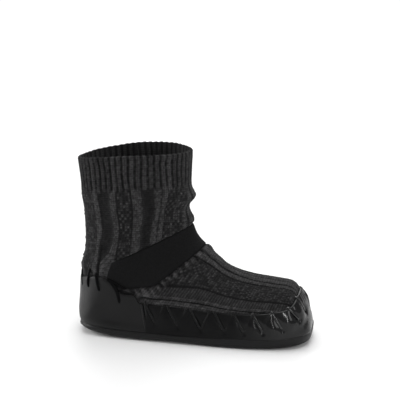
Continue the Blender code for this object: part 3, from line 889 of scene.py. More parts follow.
def lace_strands(leather):
    """Each hole's two strands, up to the wrap's top edge on either side."""
    strands = []
    runs = hole_runs(leather)
    middle = (runs[0] + runs[-1]) / 2
    for run in runs:
        side = -1 if run < middle else 1
        strands.append(Strand(run, run + side * leather.lace_lean, 1.0))
        faint = leather.faint_strand * ease(0.040, 0.100, abs(run - middle))
        if faint > 0.1:
            strands.append(Strand(run, run - side * leather.lace_lean * 0.72, faint))
    return strands


def segment_distance(run, height, strand, rise):
    """Distance in metres from places on the laid-out leather to a strand."""
    dx, dy = strand.high_run - strand.low_run, rise
    px, py = run - strand.low_run, height
    t = np.clip((px * dx + py * dy) / (dx * dx + dy * dy), 0, 1)
    return np.hypot(px - t * dx, py - t * dy)


def leather_swell(run, height, leather):
    """The toe leather's puffs between the strands, and its creases, in mm."""
    toe = SKIN.run_at(SKIN.middle)
    from_toe = np.abs(run - toe)
    puff = leather.puff_height * (0.75 + 0.75 * ease(0.105, 0.055, from_toe))
    groove = np.zeros(run.shape)
    for strand in lace_strands(leather):
        distance = segment_distance(run, height, strand, leather.lace_rise)
        puff = puff * (1 - strand.weight * hump(distance, 0, PUFF_REACH))
        groove = np.maximum(groove, strand.weight * hump(distance, 0, GROOVE_REACH))
    puff = puff - leather.groove_depth * groove
    pleat = np.sin((run - toe) * 2 * np.pi / PLEAT_STEP + 0.9 * np.sin((run - toe) * 47))
    pleats = 0.55 * pleat * ease(0.004, 0.022, height) * ease(0.062, 0.028, from_toe)
    return puff * ease(-0.008, 0.004, height) + pleats + waves(TOE_WAVES, run, height)


def leather_piece(name, first, last, columns, line, swell, leather):
    """A leather piece from one side seam to the other, between the sole's rim and a top line."""
    runs = np.linspace(first, last, columns + 1)
    share = np.linspace(0, 1, LEATHER_ROWS + 1)
    way = SKIN.way_at(runs)
    low = SKIN.slope_of(way, SKIN.slope_at(rim_top, CLEARANCE))[:, None]
    slope = low * (1 - share) + SKIN.slope_of(way, SKIN.slope_at(line))[:, None] * share
    end_distance = np.minimum(runs - first, last - runs)[:, None]
    lean = SIDE_SEAM_LEAN * (0.5 - share) * ease(LEAN_REACH, 0.0, end_distance)
    sign = np.where(runs < (first + last) / 2, -1, 1)[:, None]
    place, normal = SKIN.at(SKIN.way_at(runs[:, None] + lean * sign), slope)
    height = running(place, 1)
    run = np.broadcast_to(runs[:, None], height.shape)
    total = height[:, -1:]
    lift = CLEARANCE / MM + leather.leather_wall + swell(run, height, total)
    lift += leather.rim_swell * hump(height, 0, RIM_REACH)
    top = np.clip(1 - (total - height) / TOP_ROLL, 0, 1)
    low_edge = 0.5 * np.clip(1 - height / EDGE_ROLL, 0, 1)
    roll = np.maximum(np.maximum(top, low_edge), np.clip(1 - end_distance / EDGE_ROLL, 0, 1))
    lift -= leather.leather_wall * ROLL_SHARE * (1 - np.sqrt(1 - roll ** 2))
    outer = place + normal * (np.clip(lift, LEAST_LIFT_MM, None) * MM)[..., None]
    inner = place + normal * (CLEARANCE * INNER_LIFT)
    return wall_piece(name, outer, inner, np.stack((run, height), -1) / MM, 1)


def toe_wrap(leather):
    """The soft glossy leather round the forefoot, drawn into puffs by the lace."""
    first, last = (SKIN.run_at(SKIN.way_at_x(SIDE_SEAM_X + SEAM_GAP, inner)) for inner in (False, True))

    def swell(run, height, total):
        tight = 0.25 + 0.75 * ease(0, 0.013, total - height)
        return leather_swell(run, height - (total - leather.lace_rise), leather) * tight

    return leather_piece("toe_wrap_leather", first, last, TOE_COLUMNS, wrap_top, swell, leather)


def heel_counter(leather):
    """The satin leather cup round the heel."""
    last, first = (SKIN.run_at(SKIN.way_at_x(SIDE_SEAM_X - SEAM_GAP, inner)) for inner in (False, True))

    def swell(run, height, total):
        return HEEL_SWELL_MM + waves(HEEL_WAVES, run, height) * ease(0, 0.010, height)

    first -= SKIN.length[-1]
    return leather_piece("heel_counter_leather", first, last, HEEL_COLUMNS, counter_top, swell, leather)


SOLE_ROWS = 34
INNER_STEP = 3  # every third row is enough on the sole's inside
LIP_HEIGHT = 0.0013


def sole_shape():
    """The soft sole: a thin flat underside turned up into a rounded rim."""
    rim = SKIN.slope_at(rim_top)[:, None]
    slope = LOWEST_DEGREES + (rim - LOWEST_DEGREES) * np.linspace(0, 1, SOLE_ROWS)
    ways = np.arange(len(SKIN.heading))[:, None].astype(float)
    place, normal = SKIN.at(np.broadcast_to(ways, slope.shape), slope)
    level = normal * (1, 1, 0)
    size = np.linalg.norm(level, axis=-1, keepdims=True)
    out = ((SOLE_REACH + HEEL_LIP * np.clip(-normal[..., :1], 0, None) ** 2)
           * np.minimum(1, SOLE_SQUARENESS * size))
    down = (FORM_BASE + SOLE_SPARE) * np.minimum(1, SOLE_SQUARENESS * np.clip(-normal[..., 2:], 0, None))
    outer = place + unit(level) * out * (size > 1e-6) - down * (0, 0, 1)
    outer[..., 2] = np.maximum(outer[..., 2], 0)
    inner = place + normal * CLEARANCE * INNER_LIFT
    middle, across = (outer[:, -1] + inner[:, -1]) / 2, outer[:, -1] - inner[:, -1]
    lip = [middle + across / 2 * math.cos(t) + np.array((0, 0, LIP_HEIGHT)) * math.sin(t)
           for t in np.linspace(0, math.pi, 6)[1:-1]]
    loop = np.concatenate((outer, np.stack(lip, 1), inner[:, ::-INNER_STEP]), axis=1)
    run = np.broadcast_to(SKIN.length[:, None], loop.shape[:2])
    height = np.broadcast_to(np.linspace(0, 0.08, loop.shape[1]), loop.shape[:2])
    return grid_piece("sole_shell", loop, np.stack((run, height), -1) / MM)


BAND_ROWS = 22
BAND_SIDE = 70
BAND_FAN = 46
BAND_CENTRE = 0.60  # the share of the band's length where its two sides meet the turn over the instep
BAND_LIFT_MM = 1.35
BAND_INNER_MM = 0.28
BAND_EDGE_SHARE = 0.045  # how much of its width the band rounds off at either edge
BAND_END_ROLL = 0.0015
BAND_CLOTH_WIDTH = 0.035


def band_line(b, tree):
    """Places on the form along the band, a share b of its width up from its lower edge."""
    foot, front = np.array(BAND_FOOT), np.array(BAND_FRONT)
    near = foot + BAND_ACROSS * BAND_FOOT_WIDTH * (b - 0.5)
    far = front + BAND_ACROSS * BAND_WIDTH * (b - 0.5)
    way = (far - near) / np.linalg.norm(far - near)
    high = foot + BAND_ACROSS * BAND_FOOT_WIDTH / 2
    back = high + (high - front - BAND_ACROSS * BAND_WIDTH / 2) * BAND_END_REACH
    centre = near + (far - near) * BAND_CENTRE
    start_x = back[0] + 0.0018 + 0.0062 * np.clip((b - 0.72) / 0.28, 0, 1) ** 1.2
    xs = start_x + (centre[0] - start_x) * np.linspace(0, 1, BAND_SIDE)
    zs = near[1] + (xs - near[0]) * way[1] / way[0]
    # the lower part of the band's end is tucked behind the leather and the folds of the knit
    tuck = np.maximum(leather_top(xs) + 0.0006, band_foot(xs))
    zs = np.where(zs < tuck, tuck + 0.0004 * b + (zs - tuck) * 0.02 * (1 - b), zs)
    origins = [Vector((x, 0, z)) for x, z in zip(xs, zs)]
    hub = Vector((centre[0], 0, centre[1]))
    rays = [(origin, Vector((0, -1, 0))) for origin in origins]
    for t in np.linspace(-math.pi / 2, math.pi / 2, 2 * BAND_FAN + 1)[1:-1]:
        rays.append((hub, Vector((way[0] * math.cos(t), math.sin(t), way[1] * math.cos(t)))))
    rays += [(origin, Vector((0, 1, 0))) for origin in reversed(origins)]
    return [tuple(tree.ray_cast(*ray)[0]) for ray in rays]


def band_shape(tree):
    """The elastic band: from the outer side's leather up over the instep and down the inner side."""
    across = np.linspace(0, 1, BAND_ROWS + 1)[:, None]
    place = np.array([band_line(b, tree) for b in across[:, 0]])
    for _ in range(2):
        place[:, 1:-1] = evened(place, 1)
    normal = unit(np.cross(np.gradient(place, axis=1), np.gradient(place, axis=0)))
    inside = np.array((0.07, 0, 0.06))
    normal *= np.sign((normal * (place - inside)).sum(-1).mean())
    run = running(place, 1)
    edge = np.maximum(np.clip(1 - np.minimum(across, 1 - across) / BAND_EDGE_SHARE, 0, 1),
                      np.clip(1 - np.minimum(run, run[:, -1:] - run) / BAND_END_ROLL, 0, 1))
    lift = BAND_LIFT_MM + 0.6 * waves(BAND_WAVES, run, across) - 0.75 * (1 - np.sqrt(1 - edge ** 2))
    outer = place + normal * (lift * MM)[..., None]
    inner = place + normal * (BAND_INNER_MM * MM)
    flat = np.stack((run, np.broadcast_to(across * BAND_CLOTH_WIDTH, run.shape)), -1) / MM
    return wall_piece("elastic_band", outer, inner, flat, 0)


def cord_tube(name, path, outward, width, thickness, sides=10):
    """A flat lace along a path: rounded, with closed ends."""
    path, outward = np.asarray(path, float), unit(np.asarray(outward, float))
    tangent = unit(np.gradient(path, axis=0))
    across = unit(np.cross(tangent, outward))
    turn = np.linspace(0, 2 * np.pi, sides + 1)
    ring = (across[:, None] * (np.cos(turn) * width / 2)[None, :, None]
            + outward[:, None] * (np.sin(turn) * thickness / 2)[None, :, None])
    places = path[:, None] + ring
    for k, sign in ((0, -1), (-1, 1)):
        shrunk = path[k] + ring[k] * 0.6 + tangent[k] * sign * thickness * 0.35
        tip = np.repeat((path[k] + tangent[k] * sign * thickness * 0.5)[None], sides + 1, 0)
        ends = (tip[None], shrunk[None], places)
        places = np.concatenate(ends if sign < 0 else ends[::-1])
    length = np.linspace(0, running(path)[-1] / MM, places.shape[0])
    uv = np.stack(np.meshgrid(length, turn * width / 2 / MM, indexing="ij"), -1)
    return grid_piece(name, places, uv)


def lace(leather):
    """The lace's zigzag: two strands up from each hole over the top edge of the wrap."""
    strands = []
    low, high = SKIN.slope_at(rim_top, CLEARANCE), SKIN.slope_at(wrap_top)
    for number, strand in enumerate(lace_strands(leather)):
        t = np.linspace(-0.03, 1.10, 15)
        ways = SKIN.way_at(strand.low_run + (strand.high_run - strand.low_run) * t)
        top, bottom = SKIN.slope_of(ways, high), SKIN.slope_of(ways, low)
        length = np.linalg.norm(SKIN.at(ways, top)[0] - SKIN.at(ways, bottom)[0], axis=-1) * 1.06
        slope = top - (top - bottom) * leather.lace_rise * (1 - t) / length
        place, normal = SKIN.at(ways, slope)
        lift = np.full(len(t), leather.lace_lift - 0.35 * (strand.weight < 1))
        lift[:2] = -0.2, 1.1  # down into its hole
        lift[-2:] = 1.6, 0.2  # and down behind the top edge
        size = 0.55 + 0.45 * strand.weight
        strands.append(cord_tube(f"strand_{number}", place + normal * (lift * MM)[:, None], normal,
                                 leather.lace_width * size, leather.lace_thickness * size))
    return joined("toe_lace", strands)


STITCH_THICKNESS = 0.0016
WhipStitch = namedtuple("WhipStitch", "low middle high width lift_mm")
WHIP_STITCHES = (
    WhipStitch((0.0314, 0.0505), (0.0300, 0.0580), (0.0276, 0.0685), 0.0026, 0.7),
    WhipStitch((0.0538, 0.0378), (0.0498, 0.0545), (0.0405, 0.0645), 0.0040, 0.6),
    WhipStitch((0.0610, 0.0540), (0.0540, 0.0580), (0.0415, 0.0650), 0.0022, 0.4),
    WhipStitch((0.0185, 0.0520), (0.0180, 0.0590), (0.0205, 0.0720), 0.0024, 0.2),
    WhipStitch((0.0090, 0.0500), (0.0085, 0.0580), (0.0060, 0.0680), 0.0024, -0.5),
)


def side_place(tree, x, z, side, lift_mm):
    """A place lifted off the side of the form at x and z, and the way out of the form there."""
    hit, normal, _, _ = tree.ray_cast(Vector((x, side * 0.12, z)), Vector((0, -side, 0)))
    normal = -normal if normal.y * side < 0 else normal
    return np.array(hit) + np.array(normal) * lift_mm * MM, normal


def stitch_path(stitch, side, tree):
    """A stitch's path and outward directions over the leather and the knit."""
    low, middle, high = (np.array(p) for p in (stitch.low, stitch.middle, stitch.high))
    found = []
    for t in np.linspace(0, 1, 17):
        x, z = low * (1 - t) * (1 - 2 * t) + middle * 4 * t * (1 - t) + high * t * (2 * t - 1)
        lift = -0.5 + (2.6 + stitch.lift_mm) * math.sin(math.pi * (0.04 + 0.92 * t)) ** 0.35
        found.append(side_place(tree, x, z, side, lift))
    return zip(*found)


def whip_stitches(tree):
    """Long stitches over the top edge of the heel leather, on both sides."""
    found = []
    for side in (-1, 1):
        for number, stitch in enumerate(WHIP_STITCHES):
            path, outward = stitch_path(stitch, side, tree)
            found.append(cord_tube(f"whip_{side}_{number}", path, outward, stitch.width, STITCH_THICKNESS))
    return joined("heel_stitches", found)


SEAM_ROLL_X = 0.0017
SEAM_ROLL_WIDTH = 0.0022
SEAM_ROLL_THICKNESS = 0.0012
SEAM_LIFT_MM = 2.05


def side_seams(tree):
    """The rolled seam where the heel leather meets the toe leather, on both sides."""
    found = []
    low, high = float(rim_top(SIDE_SEAM_X)) + 0.001, float(counter_top(SIDE_SEAM_X)) - 0.0005
    t = np.linspace(0, 1, 24)
    line = list(zip(SIDE_SEAM_X + SIDE_SEAM_LEAN * (0.5 - t), low + (high - low) * t))
    for side in (-1, 1):
        for offset in (-SEAM_ROLL_X, SEAM_ROLL_X):
            path, outward = zip(*(side_place(tree, x + offset, z, side, SEAM_LIFT_MM) for x, z in line))
            name = f"seam_{side}_{offset}"
            found.append(cord_tube(name, path, outward, SEAM_ROLL_WIDTH, SEAM_ROLL_THICKNESS))
    return joined("side_seams", found)


def give(tree, socket, value):
    """Links a value that is a socket, and sets any other."""
    if isinstance(value, bpy.types.NodeSocket):
        tree.links.new(value, socket)
    else:
        socket.default_value = value


def add_node(tree, kind, settings=None, **inputs):
    """A shader node with its settings and input values; a name such as _0 is an input's number."""
    node = tree.nodes.new(kind)
    for key, value in (settings or {}).items():
        setattr(node, key, value)
    for key, value in inputs.items():
        give(tree, node.inputs[int(key[1:]) if key[0] == "_" else key.replace("_", " ")], value)
    return node


def maths(tree, operation, *values):
    """A maths node's result."""
    inputs = {f"_{place}": value for place, value in enumerate(values)}
    return add_node(tree, "ShaderNodeMath", {"operation": operation}, **inputs).outputs[0]


def noise(tree, where, scale, **inputs):
    """A noise texture's value."""
    return add_node(tree, "ShaderNodeTexNoise", None, Vector=where, Scale=scale, **inputs).outputs["Fac"]


def ranged(tree, value, settings=None, **limits):
    """A value laid from one range onto another."""
    return add_node(tree, "ShaderNodeMapRange", settings, Value=value, **limits).outputs["Result"]


def object_place(tree):
    """The place on the object."""
    return add_node(tree, "ShaderNodeTexCoord").outputs["Object"]


def new_group(name, inputs, outputs):
    """An empty shader node group with named sockets."""
    group = bpy.data.node_groups.new(name, "ShaderNodeTree")
    for label, kind, value in inputs:
        socket = group.interface.new_socket(label, in_out="INPUT", socket_type=kind)
        if value is not None:
            socket.default_value = value
    for label, kind in outputs:
        group.interface.new_socket(label, in_out="OUTPUT", socket_type=kind)
    return group, group.nodes.new("NodeGroupInput"), group.nodes.new("NodeGroupOutput")


FLOAT, VECTOR = "NodeSocketFloat", "NodeSocketVector"


def yarn_group():
    """The small slanted legs of knitted stitches, from a place counted in stitches."""
    group, given, result = new_group(
        "yarn_stitches", (("Stitches", VECTOR, None), ("Slant", FLOAT, 0.5)),
        (("Height", FLOAT), ("Strand", FLOAT)))
    parts = add_node(group, "ShaderNodeSeparateXYZ", _0=given.outputs["Stitches"]).outputs
    wale = maths(group, "FRACT", maths(group, "ADD", parts[0], 200.0))
    side = maths(group, "ABSOLUTE", maths(group, "MULTIPLY_ADD", wale, 2.0, -1.0))
    slanted = maths(group, "SUBTRACT", parts[1], maths(group, "MULTIPLY", side, given.outputs["Slant"]))
    leg = maths(group, "COSINE", maths(group, "MULTIPLY", slanted, 2 * math.pi))
    leg = maths(group, "MULTIPLY_ADD", leg, 0.5, 0.5)
    half = maths(group, "FRACT", maths(group, "MULTIPLY", wale, 2.0))
    round_leg = maths(group, "SINE", maths(group, "MULTIPLY", half, math.pi))
    height = maths(group, "MULTIPLY", maths(group, "MULTIPLY_ADD", leg, 0.65, 0.35),
                   maths(group, "POWER", round_leg, 0.5))
    group.links.new(height, result.inputs["Height"])


def fibre_group():
    """Loose fibres and heather flecks."""
    group, given, result = new_group(
        "fibres", (("Place", VECTOR, None), ("Size", FLOAT, 900.0)), (("Fleck", FLOAT), ("Fuzz", FLOAT)))
    where, size = given.outputs["Place"], given.outputs["Size"]
    fleck = noise(group, where, size, Detail=3.0, Roughness=0.65)
    fuzz = noise(group, where, maths(group, "MULTIPLY", size, 3.2), Detail=2.0)
    group.links.new(ranged(group, fleck, From_Min=0.34, From_Max=0.66), result.inputs["Fleck"])
    group.links.new(fuzz, result.inputs["Fuzz"])


def grain_group():
    """Fine leather grain and the slow change of its gloss."""
    group, given, result = new_group(
        "leather_grain", (("Place", VECTOR, None), ("Cells", FLOAT, 900.0), ("Creases", FLOAT, 90.0)),
        (("Height", FLOAT), ("Wear", FLOAT)))
    where, creases = given.outputs["Place"], given.outputs["Creases"]
    cells = add_node(group, "ShaderNodeTexVoronoi", {"feature": "DISTANCE_TO_EDGE"},
                     Vector=where, Scale=given.outputs["Cells"])
    pebble = ranged(group, cells.outputs["Distance"], From_Max=0.22)
    crease = noise(group, where, creases, Detail=6.0, Roughness=0.6, Distortion=0.6)
    wear = noise(group, where, maths(group, "MULTIPLY", creases, 0.35), Detail=4.0)
    group.links.new(maths(group, "MULTIPLY_ADD", pebble, 0.45, crease), result.inputs["Height"])
    group.links.new(ranged(group, wear, From_Min=0.3, From_Max=0.7), result.inputs["Wear"])


def new_material(name, **values):
    """A material with these values on its shader, its node tree and the shader."""
    material = bpy.data.materials.new(name)
    material.use_nodes = True
    tree, shader = material.node_tree, material.node_tree.nodes["Principled BSDF"]
    for key, value in values.items():
        give(tree, shader.inputs[key.replace("_", " ")], value)
    return material, tree, shader


def place_group(tree, group, **inputs):
    """A shared group with these inputs; its outputs."""
    node = tree.nodes.new("ShaderNodeGroup")
    node.node_tree = bpy.data.node_groups[group]
    for key, value in inputs.items():
        give(tree, node.inputs[key], value)
    return node.outputs


def mixed(tree, share, low, high):
    """A colour between two, by a share."""
    return add_node(tree, "ShaderNodeMix", {"data_type": "RGBA"}, _0=share, _6=low, _7=high).outputs[2]


def rgba(colour, times=1.0):
    """A colour with its alpha, made lighter or darker."""
    return tuple(c * times for c in colour[:3]) + (1.0,)


def bumped(tree, shader, height, strength, distance):
    """Gives a shader's surface a relief."""
    bump = add_node(tree, "ShaderNodeBump", None, Strength=strength, Distance=distance, Height=height)
    tree.links.new(bump.outputs["Normal"], shader.inputs["Normal"])


def knit_material(colours):
    """Charcoal heather yarn, with painted light on the ridges and painted shade in the grooves and between
    the stitches' legs.
    """
    material, tree, shader = new_material("charcoal_heather_knit", Roughness=0.95, Specular_IOR_Level=0.08,
                                          Sheen_Weight=0.03, Sheen_Roughness=0.5)
    stitches = add_node(tree, "ShaderNodeUVMap").outputs["UV"]
    ridge = add_node(tree, "ShaderNodeAttribute", {"attribute_name": "ridge"}).outputs["Fac"]
    yarn = place_group(tree, "yarn_stitches", Stitches=stitches, Slant=0.55)
    fibres = place_group(tree, "fibres", Place=object_place(tree), Size=480.0)
    # painted shade: the colour darkens where the stitches' height is low
    tone = maths(tree, "MULTIPLY", ridge, maths(tree, "MULTIPLY_ADD", yarn["Height"], 0.75, 0.45))
    tone = add_node(tree, "ShaderNodeClamp", None, Value=tone).outputs[0]
    colour = mixed(tree, tone, rgba(colours.knit_groove_shade), rgba(colours.knit_ridge))
    flecks = mixed(tree, tone, rgba(colours.knit_groove_shade, 1.8), rgba(colours.knit_ridge, 2.4))
    colour = mixed(tree, maths(tree, "MULTIPLY", fibres["Fleck"], 0.70), colour, flecks)
    tree.links.new(colour, shader.inputs["Base Color"])
    height = maths(tree, "MULTIPLY_ADD", fibres["Fuzz"], 0.5, yarn["Height"])
    bumped(tree, shader, height, 0.9, 0.0006)
    return material


def band_material(colours):
    """Matte black elastic with fine cords along it."""
    material, tree, shader = new_material("matte_black_elastic", Roughness=0.85, Specular_IOR_Level=0.10)
    laid = add_node(tree, "ShaderNodeUVMap").outputs["UV"]
    parts = add_node(tree, "ShaderNodeSeparateXYZ", _0=laid).outputs
    cords = maths(tree, "SINE", maths(tree, "MULTIPLY", parts[1], 2 * math.pi / 0.9))
    weft = maths(tree, "SINE", maths(tree, "MULTIPLY", parts[0], 2 * math.pi / 0.7))
    fibres = place_group(tree, "fibres", Place=object_place(tree), Size=700.0)
    colour = mixed(tree, fibres["Fleck"], rgba(colours.band), rgba(colours.band, 1.8))
    tree.links.new(colour, shader.inputs["Base Color"])
    bumped(tree, shader, maths(tree, "MULTIPLY_ADD", weft, 0.4, cords), 0.5, 0.00012)
    return material


LeatherLook = namedtuple("LeatherLook", "smooth rough shine coat toe_coat cells creases bump")
LEATHER_LOOKS = {
    "glossy_black_leather": LeatherLook(0.34, 0.48, 0.09, 0.02, 0.42, 1000.0, 110.0, 0.26),
    "black_lace": LeatherLook(0.30, 0.42, 0.15, 0.02, 0.85, 1400.0, 260.0, 0.25),
    "satin_black_leather": LeatherLook(0.36, 0.50, 0.20, 0.03, 0.03, 900.0, 90.0, 0.35),
    "heel_thread": LeatherLook(0.70, 0.80, 0.03, 0.00, 0.00, 1600.0, 300.0, 0.50),
    "sole_leather": LeatherLook(0.36, 0.50, 0.20, 0.02, 0.02, 800.0, 70.0, 0.40),
}


def leather_material(name, colour):
    """Black leather: grain, creases and a gloss that changes slowly over it and may grow towards the toe."""
    look = LEATHER_LOOKS[name]
    material, tree, shader = new_material(name, Specular_IOR_Level=look.shine, Coat_Weight=look.coat,
                                          Coat_Roughness=0.09)
    where = object_place(tree)
    grain = place_group(tree, "leather_grain", Place=where, Cells=look.cells, Creases=look.creases)
    tree.links.new(mixed(tree, grain["Wear"], rgba(colour), rgba(colour, 1.7)), shader.inputs["Base Color"])
    rough = ranged(tree, grain["Wear"], To_Min=look.smooth, To_Max=look.rough)
    tree.links.new(rough, shader.inputs["Roughness"])
    if look.toe_coat != look.coat:
        along = add_node(tree, "ShaderNodeSeparateXYZ", _0=where).outputs[0]
        gloss = ranged(tree, along, From_Min=0.050, From_Max=0.098, To_Min=look.coat, To_Max=look.toe_coat)
        tree.links.new(gloss, shader.inputs["Coat Weight"])
    bumped(tree, shader, grain["Height"], look.bump, 0.0005)
    return material


def felt_material(colours):
    """The insole's plain dark felt."""
    material, tree, shader = new_material("dark_felt", Roughness=0.95)
    fibres = place_group(tree, "fibres", Place=object_place(tree), Size=500.0)
    colour = mixed(tree, fibres["Fleck"], rgba(colours.felt, 0.7), rgba(colours.felt, 1.3))
    tree.links.new(colour, shader.inputs["Base Color"])
    bumped(tree, shader, fibres["Fuzz"], 0.6, 0.0006)
    return material


def floor_material(colours):
    """The plain pale floor, which turns to white far from the shoe, so that no edge of it shows."""
    material, tree, shader = new_material("pale_floor", Roughness=0.55, Emission_Color=(1, 1, 1, 1))
    where = object_place(tree)
    mottle = noise(tree, where, 9.0, Detail=3.0)
    tree.links.new(mixed(tree, mottle, rgba(colours.floor, 0.985), rgba(colours.floor)),
                   shader.inputs["Base Color"])
    away = add_node(tree, "ShaderNodeVectorMath", {"operation": "LENGTH"}, _0=where).outputs["Value"]
    white = ranged(tree, away, {"interpolation_type": "SMOOTHSTEP"}, From_Min=0.7, From_Max=1.5, To_Max=0.5)
    seen = add_node(tree, "ShaderNodeLightPath").outputs["Is Camera Ray"]
    tree.links.new(maths(tree, "MULTIPLY", white, seen), shader.inputs["Emission Strength"])
    return material


def number(name, description, default, **limits):
    """A number that the panel shows."""
    return FloatProperty(name=name, description=description, default=default, **limits)


def colour_property(name, description, default):
    return FloatVectorProperty(name=name, description=description, default=default, subtype="COLOR", size=3,
                               min=0.0, max=1.0)


class KnitSizes(bpy.types.PropertyGroup):
    """Sizes of the knitted fabric, in millimetres."""

    rib_height: number("Rib height", "How far a rib stands out, in mm", 0.95, min=0.1, max=2.5)
    cuff_height: number("Cuff rib height", "Half the height of a cuff rib, in mm", 0.62, min=0.1, max=1.5)
    channel_depth: number("Channel depth", "How deep a purl channel lies, in mm", 1.6, min=0.1, max=2.4)
    moss_size: number("Moss stitch size", "Size of a moss stitch on the leg, in wales", 1.4, min=1.0, max=2.5)
    bobble_height: number("Moss height", "How far a moss stitch stands out, in mm", 0.85, min=0.1, max=1.6)
    knit_wall: number("Fabric thickness", "Thickness of the knit, in mm", 2.6, min=1.0, max=4.0)


class LeatherSizes(bpy.types.PropertyGroup):
    """Sizes of the leather and its lace."""

    leather_wall: number("Leather thickness", "Thickness of the leather, in mm", 1.5, min=0.8, max=2.4)
    puff_height: number("Puff height", "How far the leather swells by a strand, in mm", 1.5, min=0.0, max=3.0)
    groove_depth: number("Groove depth", "How far a strand presses in, in mm", 0.7, min=0.0, max=1.5)
    rim_swell: number("Swell at the sole", "How far the leather bulges there, in mm", 0.75, min=0.0, max=2.0)
    first_hole: number("First hole", "The first lace hole's place along the foot", 0.0929, unit="LENGTH")
    lace_rise: number("Lace rise", "Height of the lacing below the top edge", 0.0200, unit="LENGTH")
    lace_lean: number("Lace lean", "How far a strand leans back", 0.0110, unit="LENGTH")
    faint_strand: number("Forward strand", "Weight of the strand that leans forward", 0.45, min=0.0, max=1.0)
    lace_width: number("Lace width", "Width of the flat lace", 0.0026, unit="LENGTH")
    lace_thickness: number("Lace thickness", "Thickness of the lace", 0.0015, unit="LENGTH")
    lace_lift: number("Lace lift", "Height of the lace's middle over the form, in mm", 1.9, min=0.5, max=4.0)


class ShoeColours(bpy.types.PropertyGroup):
    """Colours of the slipper sock and the floor."""

    knit_ridge: colour_property("Knit ridges", "Yarn on the ridges", (0.054, 0.053, 0.054))
    knit_groove_shade: colour_property("Knit grooves", "Yarn in the grooves", (0.0048, 0.0048, 0.0050))
    # the grooves' colour is the yarn darkened with painted shade
    band: colour_property("Band", "Elastic band", (0.0046, 0.0046, 0.0048))
    leather: colour_property("Leather", "Black leather", (0.0030, 0.0030, 0.0032))
    sole: colour_property("Sole", "Sole leather", (0.0036, 0.0036, 0.0039))
    felt: colour_property("Insole", "Insole felt", (0.045, 0.043, 0.041))
    floor: colour_property("Floor", "Plain floor", (0.90, 0.90, 0.90))


class StageSizes(bpy.types.PropertyGroup):
    """Light and camera."""

    ambient: number("Ambient light", "Light from all round", 0.20)
    key_power: number("Top light", "Power of the large soft light above, in watts", 19.0)
    back_power: number("Back light", "Power of the light behind, in watts", 20.0)
    fill_power: number("Left light", "Power of the light at the heel, in watts", 13.0)
    rim_power: number("Right light", "Power of the light at the toe, in watts", 3.0)
    glint_power: number("Glint light", "Power of the narrow light, in watts", 5.0)
    lens: number("Lens", "Focal length in mm", 90.0)


StudioLight = namedtuple("StudioLight", "name place width length power")
STUDIO_LIGHTS = (
    StudioLight("top", (0.10, 0.10, 1.50), 1.5, 1.5, "key_power"),
    StudioLight("back", (-0.30, 1.85, 1.35), 1.8, 1.8, "back_power"),
    StudioLight("left", (-1.30, -0.10, 0.50), 0.8, 0.8, "fill_power"),
    StudioLight("right", (1.15, -0.45, 0.60), 0.5, 0.5, "rim_power"),
    StudioLight("glint", (0.75, -1.25, 0.62), 0.06, 1.0, "glint_power"),
)
AIM = Vector((0, 0, 0.06))  # what the lights point at
FLOOR_SIZE = 4
SEEN_WHITE = 1.05  # how bright the surroundings look to the camera
CAMERA_PLACE = (0.2075, -1.000, 0.371)
CAMERA_TURN_DEGREES = 11.4
CAMERA_TIP_DEGREES = 12.5
SENSOR_WIDTH_MM = 36


def turn_towards(item, way):
    """Turns a light or a camera to look along a direction."""
    item.rotation_euler = way.to_track_quat("-Z", "Y").to_euler()


GROUP_BUILDERS = {"yarn_stitches": yarn_group, "fibres": fibre_group, "leather_grain": grain_group}


def build_groups():
    """The shared shader node groups, built once."""
    for name, build in GROUP_BUILDERS.items():
        if name not in bpy.data.node_groups:
            build()


class SLIPPER_OT_knit(bpy.types.Operator):
    """Knit the leg and the foot of the sock"""

    bl_idname = "slipper.knit"
    bl_label = "Knitted sock"

    def execute(self, context):
        build_groups()
        sizes = context.scene.slipper_knit
        material = knit_material(context.scene.slipper_colours)
        finish_piece(leg_knit(sizes), material, "knit", "knit_upper")
        finish_piece(foot_knit(sizes), material, "knit", "knit_upper")
        return {"FINISHED"}


class SLIPPER_OT_band(bpy.types.Operator):
    """Lay the elastic band over the instep"""

    bl_idname = "slipper.band"
    bl_label = "Elastic band"

    def execute(self, context):
        build_groups()
        piece = band_shape(form_tree())
        finish_piece(piece, band_material(context.scene.slipper_colours), "band", "ankle_band")
        return {"FINISHED"}


class SLIPPER_OT_toe_wrap(bpy.types.Operator):
    """Wrap the forefoot in soft leather and lace it"""

    bl_idname = "slipper.toe_wrap"
    bl_label = "Toe wrap and lace"

    def execute(self, context):
        build_groups()
        leather, colours = context.scene.slipper_leather, context.scene.slipper_colours
        gloss = leather_material("glossy_black_leather", colours.leather)
        cord = leather_material("black_lace", colours.leather)
        finish_piece(toe_wrap(leather), gloss, "toe_leather", "toe_wrap")
        finish_piece(lace(leather), cord, "toe_leather")
        return {"FINISHED"}


class SLIPPER_OT_heel(bpy.types.Operator):
    """Cup the heel in leather, stitch its top edge and close the side seams"""

    bl_idname = "slipper.heel"
    bl_label = "Heel counter"

    def execute(self, context):
        build_groups()
        leather, colours = context.scene.slipper_leather, context.scene.slipper_colours
        satin = leather_material("satin_black_leather", colours.leather)
        cord = leather_material("heel_thread", colours.leather)
        tree = form_tree()
        finish_piece(heel_counter(leather), satin, "heel_leather", "heel_counter")
        finish_piece(whip_stitches(tree), cord, "heel_leather")
        finish_piece(side_seams(tree), satin, "heel_leather")
        return {"FINISHED"}


class SLIPPER_OT_sole(bpy.types.Operator):
    """Shape the soft sole and finish the insole"""

    bl_idname = "slipper.sole"
    bl_label = "Sole and insole"

    def execute(self, context):
        build_groups()
        colours = context.scene.slipper_colours
        finish_piece(sole_shape(), leather_material("sole_leather", colours.sole), "sole", "sole")
        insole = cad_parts["insole"]
        insole.data.materials.clear()
        insole.data.materials.append(felt_material(colours))
        return {"FINISHED"}


